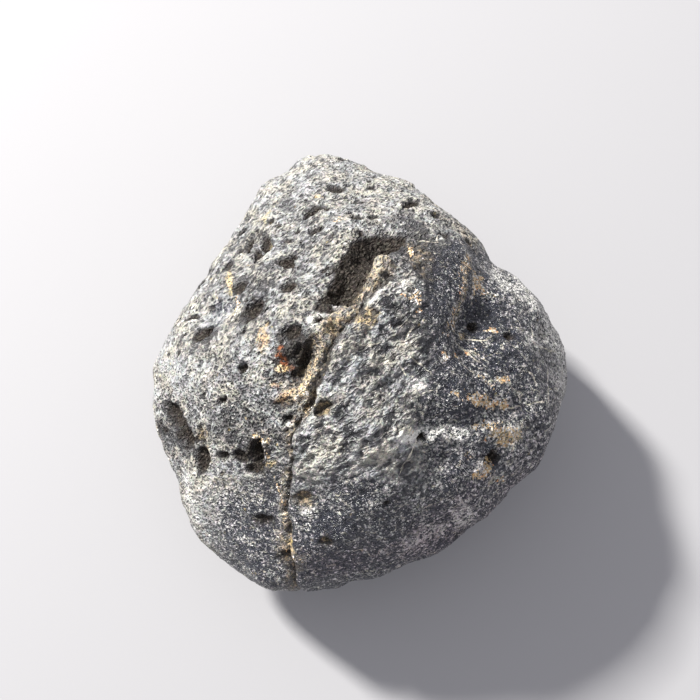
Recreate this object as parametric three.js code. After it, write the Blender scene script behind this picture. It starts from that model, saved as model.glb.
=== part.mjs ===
// A tektite: one solid lump of natural glass, about the size of a small plum.
// Millimetres, +Z up, resting on the worn flat of its underside at z = 0.
import * as THREE from 'three';

const DEG = Math.PI / 180;

// ---- The lump ----------------------------------------------------------------------------
// Everything is placed from the middle of the lump by bearing (degrees from +X towards +Y)
// and elevation (degrees above the widest level).
const MIDDLE_HEIGHT = 16;
const MIDDLE_X = -0.1;
const MIDDLE_Y = -3.65;
const CROWN_RISE = 22;
const KEEL_DROP = 17;
const SIDE_ROUNDNESS = 2.5;
// Reach of the side in plan, one value every 20 degrees of bearing from +X.
const SIDE_REACH = [30.5, 30, 27, 28.5, 34, 43, 35.5, 29, 29, 34, 33, 34.5, 34, 31, 28, 27, 27.5, 29];

// Broad worn faces: [bearing, tilt of the face from level, distance from the middle].
const FACE_CRISPNESS = 16;
const WORN_FACES = [
  [135, 40, 19], // north-west slope
  [182, 48, 22], // west slope
  [222, 42, 20.5], // south-west slope
  [300, 9, 19], // crown
  [10, 30, 20.5], // east shoulder
  [285, 52, 24.5], // south slope
  [322, 34, 21.5], // south-east slope
  [85, 40, 21.6], // north nose
  [25, 55, 25], // east rim
  [85, 122, 36], // under the nose
  [190, 120, 28.5], // under the west side
  [315, 122, 26.5], // under the south-east side
  [245, 155, 18], // underside, south-west
];

// Swells and hollows: [bearing, elevation, length, width, turn, rise]. The turn is that of the
// long way from level towards the crown.
const SWELL_REACH_IN = 8;
const SWELLS = [
  [8, 35, 1.8, 1.4, 90, 0.5],
  [9, 4, 8, 6, 90, 0.8],
  [15, 33, 9, 6, 108, -1.3],
  [18, 7, 5, 6, 0, 0.5],
  [22, 14, 9, 7, 120, 1],
  [31, 9, 5, 4.5, 55, 0.8],
  [32, 15, 4, 5, 157, -0.8],
  [38, 5, 5, 4, 90, -0.8],
  [38, 22, 9, 6, 110, -0.8],
  [59, 72, 8, 6, 30, 0.6],
  [75, -22, 13, 9, 165, 0.9],
  [97, -4, 12, 9, 0, 0.7],
  [107, 4, 10, 8, 0, 0.5],
  [115, -5, 5, 8, 0, 0.6],
  [127, -3, 4, 7, 0, 0.4],
  [145, 2, 5, 7, 0, -0.5],
  [150, -16, 16, 10, 20, 0.9],
  [152, 72, 3.2, 3.2, 0, 0.6],
  [159, 19, 7, 3.5, 120, -1.4],
  [175, -1, 5, 6, 0, 0.4],
  [186, 59, 2, 1.5, 73, 0.7],
  [190, 65, 9, 6, 155, -1.1],
  [192, -2, 9, 6, 0, 0.7],
  [205, 55, 14, 8, 60, -0.7],
  [209, 2, 8, 5, 90, -0.8],
  [220, -2, 8, 9, 0, 0.6],
  [225, 6, 12, 10, 0, 0.6],
  [236, -4, 8, 8, 0, 0.4],
  [246, 0, 8, 9, 0, 1.2],
  [252, 26, 2, 1.6, 34, 0.5],
  [264, -6, 5, 6, 0, 0.5],
  [265, -20, 12, 9, 150, 0.8],
  [270, 0, 5, 7, 0, -0.5],
  [275, 71, 16, 12, 60, 0.5],
  [290, -4, 8, 8, 0, 0.5],
  [300, 40, 8, 6, 0, -0.4],
  [312, -2, 7, 7, 0, -0.5],
  [316, 28, 1.9, 1.3, 14, 0.5],
  [326, 13, 12, 8, 0, 0.3],
  [350, -24, 16, 9, 10, -1.1],
  [352, 44, 12, 6, 90, -0.6],
];

// Gentle waves over the whole lump: [waves per mm along X, Y and Z, where the wave starts].
const WAVE_RISE = 0.2;
const WAVES = [
  [0.42, 0.25, -0.18, 0.7],
  [-0.21, 0.44, 0.3, 2.1],
  [0.16, -0.33, 0.47, 4],
  [0.5, 0.36, 0.31, 5.2],
];

// Bubble pits: [bearing, elevation, length, width, turn, depth].
const PIT_WALL = 0.6;
const PIT_HORIZON = 0.9;
const PIT_FADED = 3;
const PIT_LIP_RISE = 0.12;
const PIT_LIP_AT = 1.15;
const PIT_LIP_WIDTH = 0.25;
const NORTH_PITS = [
  [106, 15, 3.1, 2.6, 160, 1.3],
  [102, 17, 1.8, 1.3, 150, 0.7],
  [97, 9, 3.3, 1.6, 170, 0.7],
  [90, 16, 2.2, 1.5, 7, 0.8],
  [115, 20, 1.3, 1.2, 130, 0.7],
  [119, 8, 1.2, 1, 126, 0.6],
  [90, 35, 1.3, 1.1, 65, 0.6],
  [108, 27, 2.8, 1.8, 150, 0.5],
  [127, 32, 3.8, 2.1, 110, 1.2],
  [136, 46, 2.6, 2.6, 0, 0.7],
  [106, 51, 2.2, 1.8, 140, 0.5],
  [126, 14, 4.4, 1.8, 62, 1.2],
  [132, 15, 3.2, 1.6, 67, 1.1],
  [130, 8, 3.9, 1.2, 39, 0.9],
  [125, 8, 1.3, 1.1, 0, 0.6],
  [119, 11, 1.1, 1.1, 0, 0.5],
  [72, 18, 3.2, 2.2, 75, 0.8],
];
const WEST_PITS = [
  [156, 37, 3.9, 3.1, 30, 1.2],
  [147, 23, 3.2, 2.6, 20, 0.6],
  [169, 17, 3.2, 1.8, 110, 1],
  [162, 8, 2, 1.2, 110, 0.6],
  [188, 42, 2.1, 1.5, 106, 0.7],
  [194, 6, 4.6, 2.1, 18, 1.1],
  [201, 8, 5.2, 2.1, 5, 1.2],
  [204, 14, 2.4, 1.9, 159, 0.8],
  [211, 11, 3.7, 2.8, 154, 1.3],
  [198, 29, 1.5, 1.1, 70, 0.7],
  [215, 19, 2.6, 1.2, 41, 0.6],
  [220, 24, 2.8, 1.4, 27, 0.7],
  [224, 29, 3.4, 2.3, 140, 1.6],
  [227, 25, 3, 2, 60, 0.8],
];
const CROWN_PITS = [
  [152, 72, 1.3, 1.2, 0, 1.3],
  [199, 68, 8, 3.6, 134, 1.8],
  [168, 62, 3.4, 2.6, 115, 0.8],
  [155, 78, 1.8, 1.4, 117, 0.7],
  [225, 48, 1.6, 1.5, 48, 0.8],
  [216, 51, 3.2, 1.7, 51, 0.4],
  [242, 62, 2.7, 2.3, 56, 0.9],
  [70, 81, 2.7, 2.2, 60, 0.7],
  [24, 75, 1.4, 1.3, 69, 0.3],
  [188, 65, 3, 2.4, 150, 0.7],
  [230, 60, 4.5, 1.2, 101, 0.8],
];
const SOUTH_PITS = [
  [249, 29, 2.5, 1.9, 34, 0.6],
  [260, 20, 1.9, 1.7, 20, 0.6],
  [239, 13, 4, 1.4, 39, 0.6],
  [250, 10, 3.4, 1.9, 33, 0.8],
  [305, 47, 1.5, 0.9, 145, 0.8],
  [321, 26, 2.8, 1.6, 169, 1.1],
  [280, 33, 1.4, 1, 165, 0.6],
];
const EAST_PITS = [
  [14, 37, 1.7, 1.4, 90, 0.9],
  [8, 28, 2, 1.5, 93, 0.7],
  [10, 13, 3.3, 2.2, 155, 0.35],
];
const SIDE_PITS = [
  [350, -8, 2.6, 2, 40, 0.8],
  [72, 1, 3, 2, 120, 0.8],
  [300, 3, 2.4, 1.8, 20, 0.7],
  [277, -9, 3, 2.2, 60, 0.9],
  [181, -14, 3.4, 2.4, 120, 1.1],
  [121, -10, 3, 2, 30, 0.9],
  [36, -5, 2.4, 1.8, 80, 0.7],
];
const UNDERSIDE_PITS = [
  [28, -27, 4, 3, 20, 1.2],
  [88, -24, 3, 2.4, 60, 1],
  [118, -33, 5, 3.5, 100, 1.5],
  [166, -30, 3, 2.2, 30, 1],
  [213, -28, 4.2, 2.6, 140, 1.3],
  [252, -34, 3, 2.6, 10, 1],
  [291, -23, 3.6, 2.2, 70, 1.1],
  [334, -31, 5.2, 3.4, 160, 1.4],
];
const PITS = [
  ...NORTH_PITS, ...WEST_PITS, ...CROWN_PITS, ...SOUTH_PITS, ...EAST_PITS, ...SIDE_PITS, ...UNDERSIDE_PITS,
];

// Lines that run over the surface, each a smooth curve through a list of [bearing, elevation].
// The crack starts beside the trench, crosses the crown and runs down the south slope, with a
// curb on its west side between it and the trench.
const RUNS_BETWEEN_POINTS = 4;
const CRACK_LINE = [
  [61, 56], [67, 63], [75, 71], [85, 78], [123, 82], [176, 81], [208, 77], [219, 72], [226, 67],
  [231, 57], [233, 49], [237, 41], [242, 30], [246, 20], [251, 11], [255, 0], [257, -10],
];
const TRENCH_LINE = [[67, 43], [72, 42], [79, 43], [86, 50], [92, 58], [99, 64], [108, 69], [118, 73]];
const SOUTH_RIDGE_LINE = [[215, 39], [224, 34], [231, 30], [237, 26], [243, 22], [247, 14]];
const WEST_STEP_LINE = [[138, 7], [155, 24], [166, 25], [173, 22]];
const TERRACE_LINE = [[292, 49], [303, 44], [311, 44], [321, 35], [330, 31], [337, 23], [345, 17]];
const VALLEY_LINE = [[51, 18], [37, 29], [23, 36], [4, 44], [342, 47]];

// Each line fades in and out over a share of its length.
const CRACK_DEPTH = 0.8;
const CRACK_DEEPENING = 0.4;
const CRACK_DEEPENS_AT = 0.4;
const CRACK_HALF_WIDTH = 0.4;
const CRACK_GROOVE_FADE = 0.06;
const CRACK_SIDE_FADE = 0.1;
const CRACK_STEP = 1.3;
const CRACK_STEP_FADING = 0.7;
const CRACK_STEP_REACH = 5;
const CRACK_LIP_RISE = 0.45;
const CRACK_LIP_AT = 1.3;
const CRACK_LIP_WIDTH = 1.2;
const CURB_RISE = 0.75;
const CURB_AT = -1.4;
const CURB_HALF_WIDTH = 1.3;
const CURB_LEANING = 0.5;
const CURB_BROADENING = 0.4;
const CURB_BROADENS_AT = 0.16;
const CURB_ENDS_AT = 0.44;
const CURB_FADE = 0.08;
const CURB_START_FADE = 0.02;
const CURB_HEAD_SHARE = 0.1;
const CURB_HEAD_BROADENING = 0.5;
const TRENCH_DEPTH = 3.2;
const TRENCH_HALF_WIDTH = 2.1;
const TRENCH_STEEPNESS = 9;
const TRENCH_SLOPE_WIDTH = 2.9;
const TRENCH_SLOPE_STEEPNESS = 4;
const TRENCH_FADE = 0.08;
const SOUTH_RIDGE_RISE = 0.45;
const SOUTH_RIDGE_HALF_WIDTH = 0.6;
const SOUTH_RIDGE_FADE = 0.2;
const WEST_STEP_DROP = 0.9;
const WEST_STEP_WIDTH = 0.8;
const WEST_STEP_REACH = 3;
const WEST_STEP_FADE = 0.2;
const TERRACE_RISE = 0.45;
const TERRACE_HALF_WIDTH = 1;
const TERRACE_TROUGH_AT = 2.2;
const TERRACE_TROUGH_WIDTH = 1.6;
const TERRACE_FADE = 0.3;
const VALLEY_DEPTH = 1.2;
const VALLEY_HALF_WIDTH = 3;
const VALLEY_FADE = 0.35;

// ---- Fineness of the faceting ------------------------------------------------------------
const START_SUBDIVISIONS = 2;
const PLAIN_EDGE = 3.8;
const LINE_EDGE = 0.95;
const LINE_EDGE_REACH = 1.1;
const TRENCH_EDGE = 1.25;
const TRENCH_EDGE_REACH = 3.9;
const SOFT_EDGE = 1.7;
const SOFT_EDGE_REACH = 2.6;
const PIT_EDGE_SHARE = 0.4;
const PIT_EDGE_LEAST = 0.6;
const PIT_EDGE_REACH = 1.2;
const REFINING_PASSES = 7;
const EDGE_SLACK = 1.3;
// Corners this near a pit's rim (as a share of its radius) or the crack's floor (mm) move onto it.
const RIM_PULL_FROM = 0.68;
const RIM_PULL_TO = 1.4;
const FLOOR_PULL = 0.42;
const SHOULDER_PULL = 1.25;
const SHOULDER_AT = 0.8;
const LEAST_CORNER_SHARE = 0.22;

const GLASS_COLOUR = 0x4b4a46;
const GLASS_ROUGHNESS = 0.72;

function direction(bearing, elevation) {
  const level = Math.cos(elevation * DEG);
  return new THREE.Vector3(
    level * Math.cos(bearing * DEG),
    level * Math.sin(bearing * DEG),
    Math.sin(elevation * DEG),
  );
}

/** Reach of the side at a bearing in radians: a smooth curve through SIDE_REACH. */
function sideReach(bearing) {
  const count = SIDE_REACH.length;
  const turns = bearing / (2 * Math.PI);
  const place = (turns - Math.floor(turns)) * count;
  const i = Math.floor(place) % count;
  const f = place - Math.floor(place);
  const before = SIDE_REACH[(i + count - 1) % count];
  const here = SIDE_REACH[i];
  const next = SIDE_REACH[(i + 1) % count];
  const after = SIDE_REACH[(i + 2) % count];
  const slope = next - before;
  const bend = 2 * before - 5 * here + 4 * next - after;
  const twist = 3 * here - before - 3 * next + after;
  return 0.5 * (2 * here + slope * f + bend * f ** 2 + twist * f ** 3);
}

/** Distance from the middle to the rounded lump, softly cut by the worn faces. */
function bodyReach(dir) {
  const side = Math.hypot(dir.x, dir.y) / sideReach(Math.atan2(dir.y, dir.x));
  const rise = dir.z > 0 ? dir.z / CROWN_RISE : -dir.z / KEEL_DROP;
  const lump = (side ** SIDE_ROUNDNESS + rise ** SIDE_ROUNDNESS) ** (-1 / SIDE_ROUNDNESS);
  let total = lump ** -FACE_CRISPNESS;
  for (const [bearing, tilt, distance] of WORN_FACES) {
    const facing = Math.max(dir.dot(direction(bearing, 90 - tilt)), 0);
    total += (facing / distance) ** FACE_CRISPNESS;
  }
  return total ** (-1 / FACE_CRISPNESS);
}

function bodyPoint(dir) {
  return dir.clone().multiplyScalar(bodyReach(dir));
}

/** A feature's own place: its centre and its long, short and outward directions. */
function placeFeature(bearing, elevation, turn) {
  const out = direction(bearing, elevation);
  const level = direction(bearing + 90, 0);
  const up = out.clone().cross(level);
  const cos = Math.cos(turn * DEG);
  const sin = Math.sin(turn * DEG);
  const long = level.clone().multiplyScalar(cos).addScaledVector(up, sin);
  const short = up.multiplyScalar(cos).addScaledVector(level, -sin);
  return { centre: bodyPoint(out), out, long, short };
}

const PLACED_SWELLS = SWELLS.map(([bearing, elevation, length, width, turn, rise]) => ({
  ...placeFeature(bearing, elevation, turn), length, width, rise,
}));
const PLACED_PITS = PITS.map(([bearing, elevation, length, width, turn, depth]) => ({
  ...placeFeature(bearing, elevation, turn), length, width, depth,
}));

/** A smooth curve over the lump through a line's points. */
function curvePoints(line) {
  const given = line.map(([bearing, elevation]) => bodyPoint(direction(bearing, elevation)));
  const curve = new THREE.CatmullRomCurve3(given, false, 'catmullrom', 0.5);
  const points = curve.getPoints((given.length - 1) * RUNS_BETWEEN_POINTS);
  return points.map((point) => bodyPoint(point.normalize()));
}

/** A surface line as short straight runs, with the left side of each. */
function placeLine(line) {
  const points = curvePoints(line);
  const runs = [];
  let done = 0;
  for (let i = 0; i + 1 < points.length; i += 1) {
    const from = points[i];
    const along = points[i + 1].clone().sub(from);
    const left = from.clone().add(points[i + 1]).cross(along).normalize();
    runs.push({ from, along, left, length: along.length(), done });
    done += along.length();
  }
  return { runs, length: done };
}

const CRACK = placeLine(CRACK_LINE);
const TRENCH = placeLine(TRENCH_LINE);
const SOUTH_RIDGE = placeLine(SOUTH_RIDGE_LINE);
const WEST_STEP = placeLine(WEST_STEP_LINE);
const TERRACE = placeLine(TERRACE_LINE);
const VALLEY = placeLine(VALLEY_LINE);

/** Where a point lies by a line: distance across it (left is positive) and share along it. */
function besideLine(point, line) {
  let best = { away: Infinity, across: Infinity, along: 0, offset: new THREE.Vector3() };
  for (const run of line.runs) {
    const offset = point.clone().sub(run.from);
    const share = THREE.MathUtils.clamp(offset.dot(run.along) / run.length ** 2, 0, 1);
    offset.addScaledVector(run.along, -share);
    const away = offset.length();
    if (away < best.away) {
      const across = away * Math.sign(offset.dot(run.left));
      best = { away, across, along: (run.done + share * run.length) / line.length, offset };
    }
  }
  return best;
}

function smooth(value) {
  const v = THREE.MathUtils.clamp(value, 0, 1);
  return v * v * (3 - 2 * v);
}

/** Fades a line out over a share of its length at both ends. */
function taper(along, share) {
  return smooth(along / share) * smooth((1 - along) / share);
}

function bell(value) {
  return Math.exp(-(value ** 2));
}

function swellRelief(point) {
  let rise = 0;
  for (const swell of PLACED_SWELLS) {
    const offset = point.clone().sub(swell.centre);
    const long = bell((2 * offset.dot(swell.long)) / swell.length);
    const short = bell((2 * offset.dot(swell.short)) / swell.width);
    rise += swell.rise * long * short * bell(offset.dot(swell.out) / SWELL_REACH_IN);
  }
  return rise;
}

function waveRelief(point) {
  let rise = 0;
  for (const [x, y, z, start] of WAVES) rise += Math.sin(x * point.x + y * point.y + z * point.z + start);
  return WAVE_RISE * rise;
}

/** Distance from a pit's centre as a share of its radius, or Infinity when far round the lump. */
function pitShare(point, dir, pit) {
  if (dir.dot(pit.out) < PIT_HORIZON) return Infinity;
  const offset = point.clone().sub(pit.centre);
  return 2 * Math.hypot(offset.dot(pit.long) / pit.length, offset.dot(pit.short) / pit.width);
}

function pitRelief(point, dir) {
  let rise = 0;
  for (const pit of PLACED_PITS) {
    const share = pitShare(point, dir, pit);
    if (share > PIT_FADED) continue;
    rise -= pit.depth * Math.max(1 - share ** 2, 0) ** PIT_WALL;
    rise += PIT_LIP_RISE * pit.depth * bell((share - PIT_LIP_AT) / PIT_LIP_WIDTH);
  }
  return rise;
}

/** The flat-topped curb beside the crack: a broad head, then broader and further west again. */
function curbRelief(across, along) {
  const broad = smooth((along - CURB_BROADENS_AT) / CURB_BROADENS_AT);
  const head = CURB_HEAD_BROADENING * bell(along / CURB_HEAD_SHARE);
  const halfWidth = CURB_HALF_WIDTH + CURB_BROADENING * broad + head;
  const share = (across - CURB_AT + CURB_LEANING * broad + head) / halfWidth;
  const ends = smooth(along / CURB_START_FADE) * smooth((CURB_ENDS_AT - along) / CURB_FADE);
  return CURB_RISE * bell(share ** 2) * ends;
}

/** The crack: a narrow groove, the west side stepped down, a low lip east and a curb west. */
function crackRelief(point) {
  const { across, along } = besideLine(point, CRACK);
  const deepened = smooth((along - CRACK_DEEPENS_AT) / CRACK_SIDE_FADE);
  const depth = (CRACK_DEPTH + CRACK_DEEPENING * deepened) * taper(along, CRACK_GROOVE_FADE);
  const groove = depth * bell(across / CRACK_HALF_WIDTH);
  const fade = taper(along, CRACK_SIDE_FADE);
  const side = smooth(-across / CRACK_HALF_WIDTH) * Math.exp(Math.min(across, 0) / CRACK_STEP_REACH);
  const step = (CRACK_STEP - CRACK_STEP_FADING * along) * fade * side;
  const lip = CRACK_LIP_RISE * fade * bell((across - CRACK_LIP_AT) / CRACK_LIP_WIDTH);
  return lip + curbRelief(across, along) - groove - step;
}

/** The trench beside the crack: a steep east wall, a flat floor and an easier slope west. */
function trenchRelief(point) {
  const { across, along } = besideLine(point, TRENCH);
  const wall = (Math.max(across, 0) / TRENCH_HALF_WIDTH) ** TRENCH_STEEPNESS;
  const slope = (Math.max(-across, 0) / TRENCH_SLOPE_WIDTH) ** TRENCH_SLOPE_STEEPNESS;
  return (-TRENCH_DEPTH * taper(along, TRENCH_FADE)) / (1 + wall + slope);
}

function southRidgeRelief(point) {
  const { across, along } = besideLine(point, SOUTH_RIDGE);
  return SOUTH_RIDGE_RISE * taper(along, SOUTH_RIDGE_FADE) * bell(across / SOUTH_RIDGE_HALF_WIDTH);
}

function westStepRelief(point) {
  const { across, along } = besideLine(point, WEST_STEP);
  const side = smooth(0.5 - across / WEST_STEP_WIDTH) * Math.exp(Math.min(across, 0) / WEST_STEP_REACH);
  return -WEST_STEP_DROP * taper(along, WEST_STEP_FADE) * side;
}

function terraceRelief(point) {
  const { across, along } = besideLine(point, TERRACE);
  const crest = bell(across / TERRACE_HALF_WIDTH);
  const trough = bell((across - TERRACE_TROUGH_AT) / TERRACE_TROUGH_WIDTH);
  return TERRACE_RISE * taper(along, TERRACE_FADE) * (crest - trough);
}

function valleyRelief(point) {
  const { across, along } = besideLine(point, VALLEY);
  return -VALLEY_DEPTH * taper(along, VALLEY_FADE) * bell(across / VALLEY_HALF_WIDTH);
}

/** The finished surface in a direction, cut off flat where the lump rests. */
function surfacePoint(dir) {
  const body = bodyPoint(dir);
  let reach = body.length() + swellRelief(body) + waveRelief(body) + pitRelief(body, dir);
  reach += crackRelief(body) + trenchRelief(body) + southRidgeRelief(body);
  reach += westStepRelief(body) + terraceRelief(body) + valleyRelief(body);
  if (dir.z < 0) reach = Math.min(reach, MIDDLE_HEIGHT / -dir.z);
  return dir.clone().multiplyScalar(reach);
}

/** Longest facet edge wanted near a surface point. */
function wantedEdge(dir) {
  const body = bodyPoint(dir);
  let edge = PLAIN_EDGE;
  if (besideLine(body, CRACK).away < LINE_EDGE_REACH) edge = LINE_EDGE;
  else if (besideLine(body, SOUTH_RIDGE).away < LINE_EDGE_REACH) edge = LINE_EDGE;
  else if (besideLine(body, TRENCH).away < TRENCH_EDGE_REACH) edge = TRENCH_EDGE;
  else if (besideLine(body, TERRACE).away < SOFT_EDGE_REACH) edge = SOFT_EDGE;
  else if (besideLine(body, WEST_STEP).away < SOFT_EDGE_REACH) edge = SOFT_EDGE;
  for (const pit of PLACED_PITS) {
    if (pitShare(body, dir, pit) > PIT_EDGE_REACH) continue;
    const share = PIT_EDGE_SHARE * Math.min(pit.length, pit.width);
    edge = Math.min(edge, Math.max(share, PIT_EDGE_LEAST));
  }
  return edge;
}

/** An even ball of triangles to start from: unit directions and corner indices. */
function startBall() {
  const ball = new THREE.IcosahedronGeometry(1, 0);
  const spots = ball.getAttribute('position');
  const dirs = [];
  const known = new Map();
  const corners = [];
  for (let i = 0; i < spots.count; i += 1) {
    const spot = new THREE.Vector3().fromBufferAttribute(spots, i).normalize();
    const key = spot.toArray().map((v) => v.toFixed(4)).join();
    if (!known.has(key)) {
      known.set(key, dirs.length);
      dirs.push(spot);
    }
    corners.push(known.get(key));
  }
  const triangles = [];
  for (let i = 0; i < corners.length; i += 3) triangles.push(corners.slice(i, i + 3));
  return { dirs, triangles };
}

/** Splits every edge the test asks for; neighbours share the new corner, so no gap opens. */
function splitEdges({ dirs, triangles }, wantsSplit) {
  const middles = new Map();
  const middle = (a, b) => {
    const key = a < b ? `${a},${b}` : `${b},${a}`;
    if (!middles.has(key)) {
      const dir = dirs[a].clone().add(dirs[b]).normalize();
      let index = -1;
      if (wantsSplit(dirs[a], dirs[b], dir)) index = dirs.push(dir) - 1;
      middles.set(key, index);
    }
    return middles.get(key);
  };
  const split = [];
  for (const [a, b, c] of triangles) {
    const mids = [middle(a, b), middle(b, c), middle(c, a)];
    split.push(...cutTriangle([a, b, c], mids));
  }
  return { dirs, triangles: split };
}

/** Cuts one triangle by the new corners on its edges (-1 where an edge stays whole). */
function cutTriangle(corners, mids) {
  const cuts = mids.filter((m) => m >= 0).length;
  if (cuts === 0) return [corners];
  let turn = 0;
  if (cuts === 1) turn = mids.findIndex((m) => m >= 0);
  if (cuts === 2) turn = (mids.findIndex((m) => m < 0) + 1) % 3;
  const [a, b, c] = [0, 1, 2].map((i) => corners[(i + turn) % 3]);
  const [ab, bc, ca] = [0, 1, 2].map((i) => mids[(i + turn) % 3]);
  if (cuts === 1) return [[a, ab, c], [ab, b, c]];
  if (cuts === 2) return [[a, ab, c], [ab, bc, c], [ab, b, bc]];
  return [[a, ab, ca], [ab, b, bc], [ca, bc, c], [ab, bc, ca]];
}

/** Where a corner near a pit's rim belongs, or null. */
function rimNear(dir) {
  const body = bodyPoint(dir);
  for (const pit of PLACED_PITS) {
    const share = pitShare(body, dir, pit);
    if (share < RIM_PULL_FROM || share > RIM_PULL_TO) continue;
    const offset = body.clone().sub(pit.centre);
    offset.addScaledVector(pit.out, -offset.dot(pit.out));
    return body.addScaledVector(offset, 1 / share - 1).normalize();
  }
  return null;
}

/** Where a corner near the crack belongs: on its floor or on one of its shoulders, or null. */
function crackNear(dir) {
  const body = bodyPoint(dir);
  const { away, along, offset } = besideLine(body, CRACK);
  if (away > SHOULDER_PULL || along === 0 || along === 1) return null;
  const wanted = away < FLOOR_PULL ? 0 : SHOULDER_AT;
  return body.addScaledVector(offset, wanted / Math.max(away, 0.01) - 1).normalize();
}

function isSliver(a, b, c) {
  const ab = b.clone().sub(a);
  const ac = c.clone().sub(a);
  const longest = Math.max(ab.length(), ac.length(), b.distanceTo(c));
  return ab.cross(ac).dot(a) < LEAST_CORNER_SHARE * longest ** 2;
}

/** Moves corners onto the creases beside them wherever that folds or pinches no triangle. */
function settleCorners({ dirs, triangles }) {
  const around = dirs.map(() => []);
  for (const triangle of triangles) triangle.forEach((corner) => around[corner].push(triangle));
  dirs.forEach((dir, i) => {
    const target = crackNear(dir) ?? rimNear(dir);
    if (!target) return;
    const before = dir.clone();
    dir.copy(target);
    if (around[i].some((corners) => isSliver(...corners.map((k) => dirs[k])))) dir.copy(before);
  });
}

function buildMesh() {
  let mesh = startBall();
  for (let i = 0; i < START_SUBDIVISIONS; i += 1) mesh = splitEdges(mesh, () => true);
  const tooLong = (from, to, between) => {
    const length = surfacePoint(from).distanceTo(surfacePoint(to));
    return length > EDGE_SLACK * Math.min(wantedEdge(between), wantedEdge(from), wantedEdge(to));
  };
  for (let i = 0; i < REFINING_PASSES; i += 1) mesh = splitEdges(mesh, tooLong);
  settleCorners(mesh);
  return mesh;
}

function buildGeometry() {
  const { dirs, triangles } = buildMesh();
  const positions = dirs.flatMap((dir) => surfacePoint(dir).toArray());
  const geometry = new THREE.BufferGeometry();
  geometry.setAttribute('position', new THREE.Float32BufferAttribute(positions, 3));
  geometry.setIndex(triangles.flat());
  geometry.translate(MIDDLE_X, MIDDLE_Y, MIDDLE_HEIGHT);
  geometry.computeVertexNormals();
  return geometry;
}

const glass = new THREE.MeshStandardMaterial({
  color: GLASS_COLOUR,
  roughness: GLASS_ROUGHNESS,
  metalness: 0,
});
const tektite = new THREE.Mesh(buildGeometry(), glass);
tektite.name = 'tektite';

const part = new THREE.Group();
part.name = 'tektite_specimen';
part.add(tektite);

export default part;
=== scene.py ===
"""A tektite: a lump of natural glass with a frosted, pitted skin, on a pale table."""
import itertools
import math

import bpy
import numpy as np
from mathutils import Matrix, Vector


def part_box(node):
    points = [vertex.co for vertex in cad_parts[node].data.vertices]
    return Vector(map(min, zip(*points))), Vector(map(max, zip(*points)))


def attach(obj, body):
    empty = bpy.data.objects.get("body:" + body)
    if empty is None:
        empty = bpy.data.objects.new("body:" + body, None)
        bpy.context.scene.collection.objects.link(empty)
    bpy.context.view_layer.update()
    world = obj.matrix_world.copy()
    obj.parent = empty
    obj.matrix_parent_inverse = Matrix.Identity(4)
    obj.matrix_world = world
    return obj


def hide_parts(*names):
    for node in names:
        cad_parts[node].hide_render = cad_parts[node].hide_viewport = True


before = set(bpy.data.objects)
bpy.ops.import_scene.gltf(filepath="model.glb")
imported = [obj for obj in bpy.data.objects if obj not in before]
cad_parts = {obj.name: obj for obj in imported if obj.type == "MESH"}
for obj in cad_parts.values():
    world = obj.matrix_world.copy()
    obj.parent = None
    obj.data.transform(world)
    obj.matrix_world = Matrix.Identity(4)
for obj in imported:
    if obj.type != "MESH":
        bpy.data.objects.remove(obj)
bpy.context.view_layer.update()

bl_info = {
    "name": "Tektite specimen",
    "version": (1, 0, 0),
    "blender": (4, 5, 0),
    "location": "3D View > Sidebar > Tektite",
    "description": "Builds a pitted lump of natural glass and the table and light it is shown with",
    "category": "Add Mesh",
}

MM = 0.001

# ---- The lump, in millimetres and degrees, placed from its middle ---------------------------
MIDDLE = np.array([-0.1, -3.65, 16.0])
CROWN_RISE = 22.0
KEEL_DROP = 17.0
SIDE_ROUNDNESS = 2.5
# Reach of the side in plan, every 20 degrees of bearing from +X.
SIDE_REACH = np.array([30.5, 30, 27, 28.5, 34, 43, 35.5, 29, 29, 34, 33, 34.5, 34, 31, 28, 27, 27.5, 29])

FACE_CRISPNESS = 16
# Bearing, tilt from level, distance from the middle.
WORN_FACES = [
    (135, 40, 19), (182, 48, 22), (222, 42, 20.5), (300, 9, 19), (10, 30, 20.5), (285, 52, 24.5),
    (322, 34, 21.5), (85, 40, 21.6), (25, 55, 25), (85, 122, 36), (190, 120, 28.5), (315, 122, 26.5),
    (245, 155, 18),
]

SWELL_REACH_IN = 8.0
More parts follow.
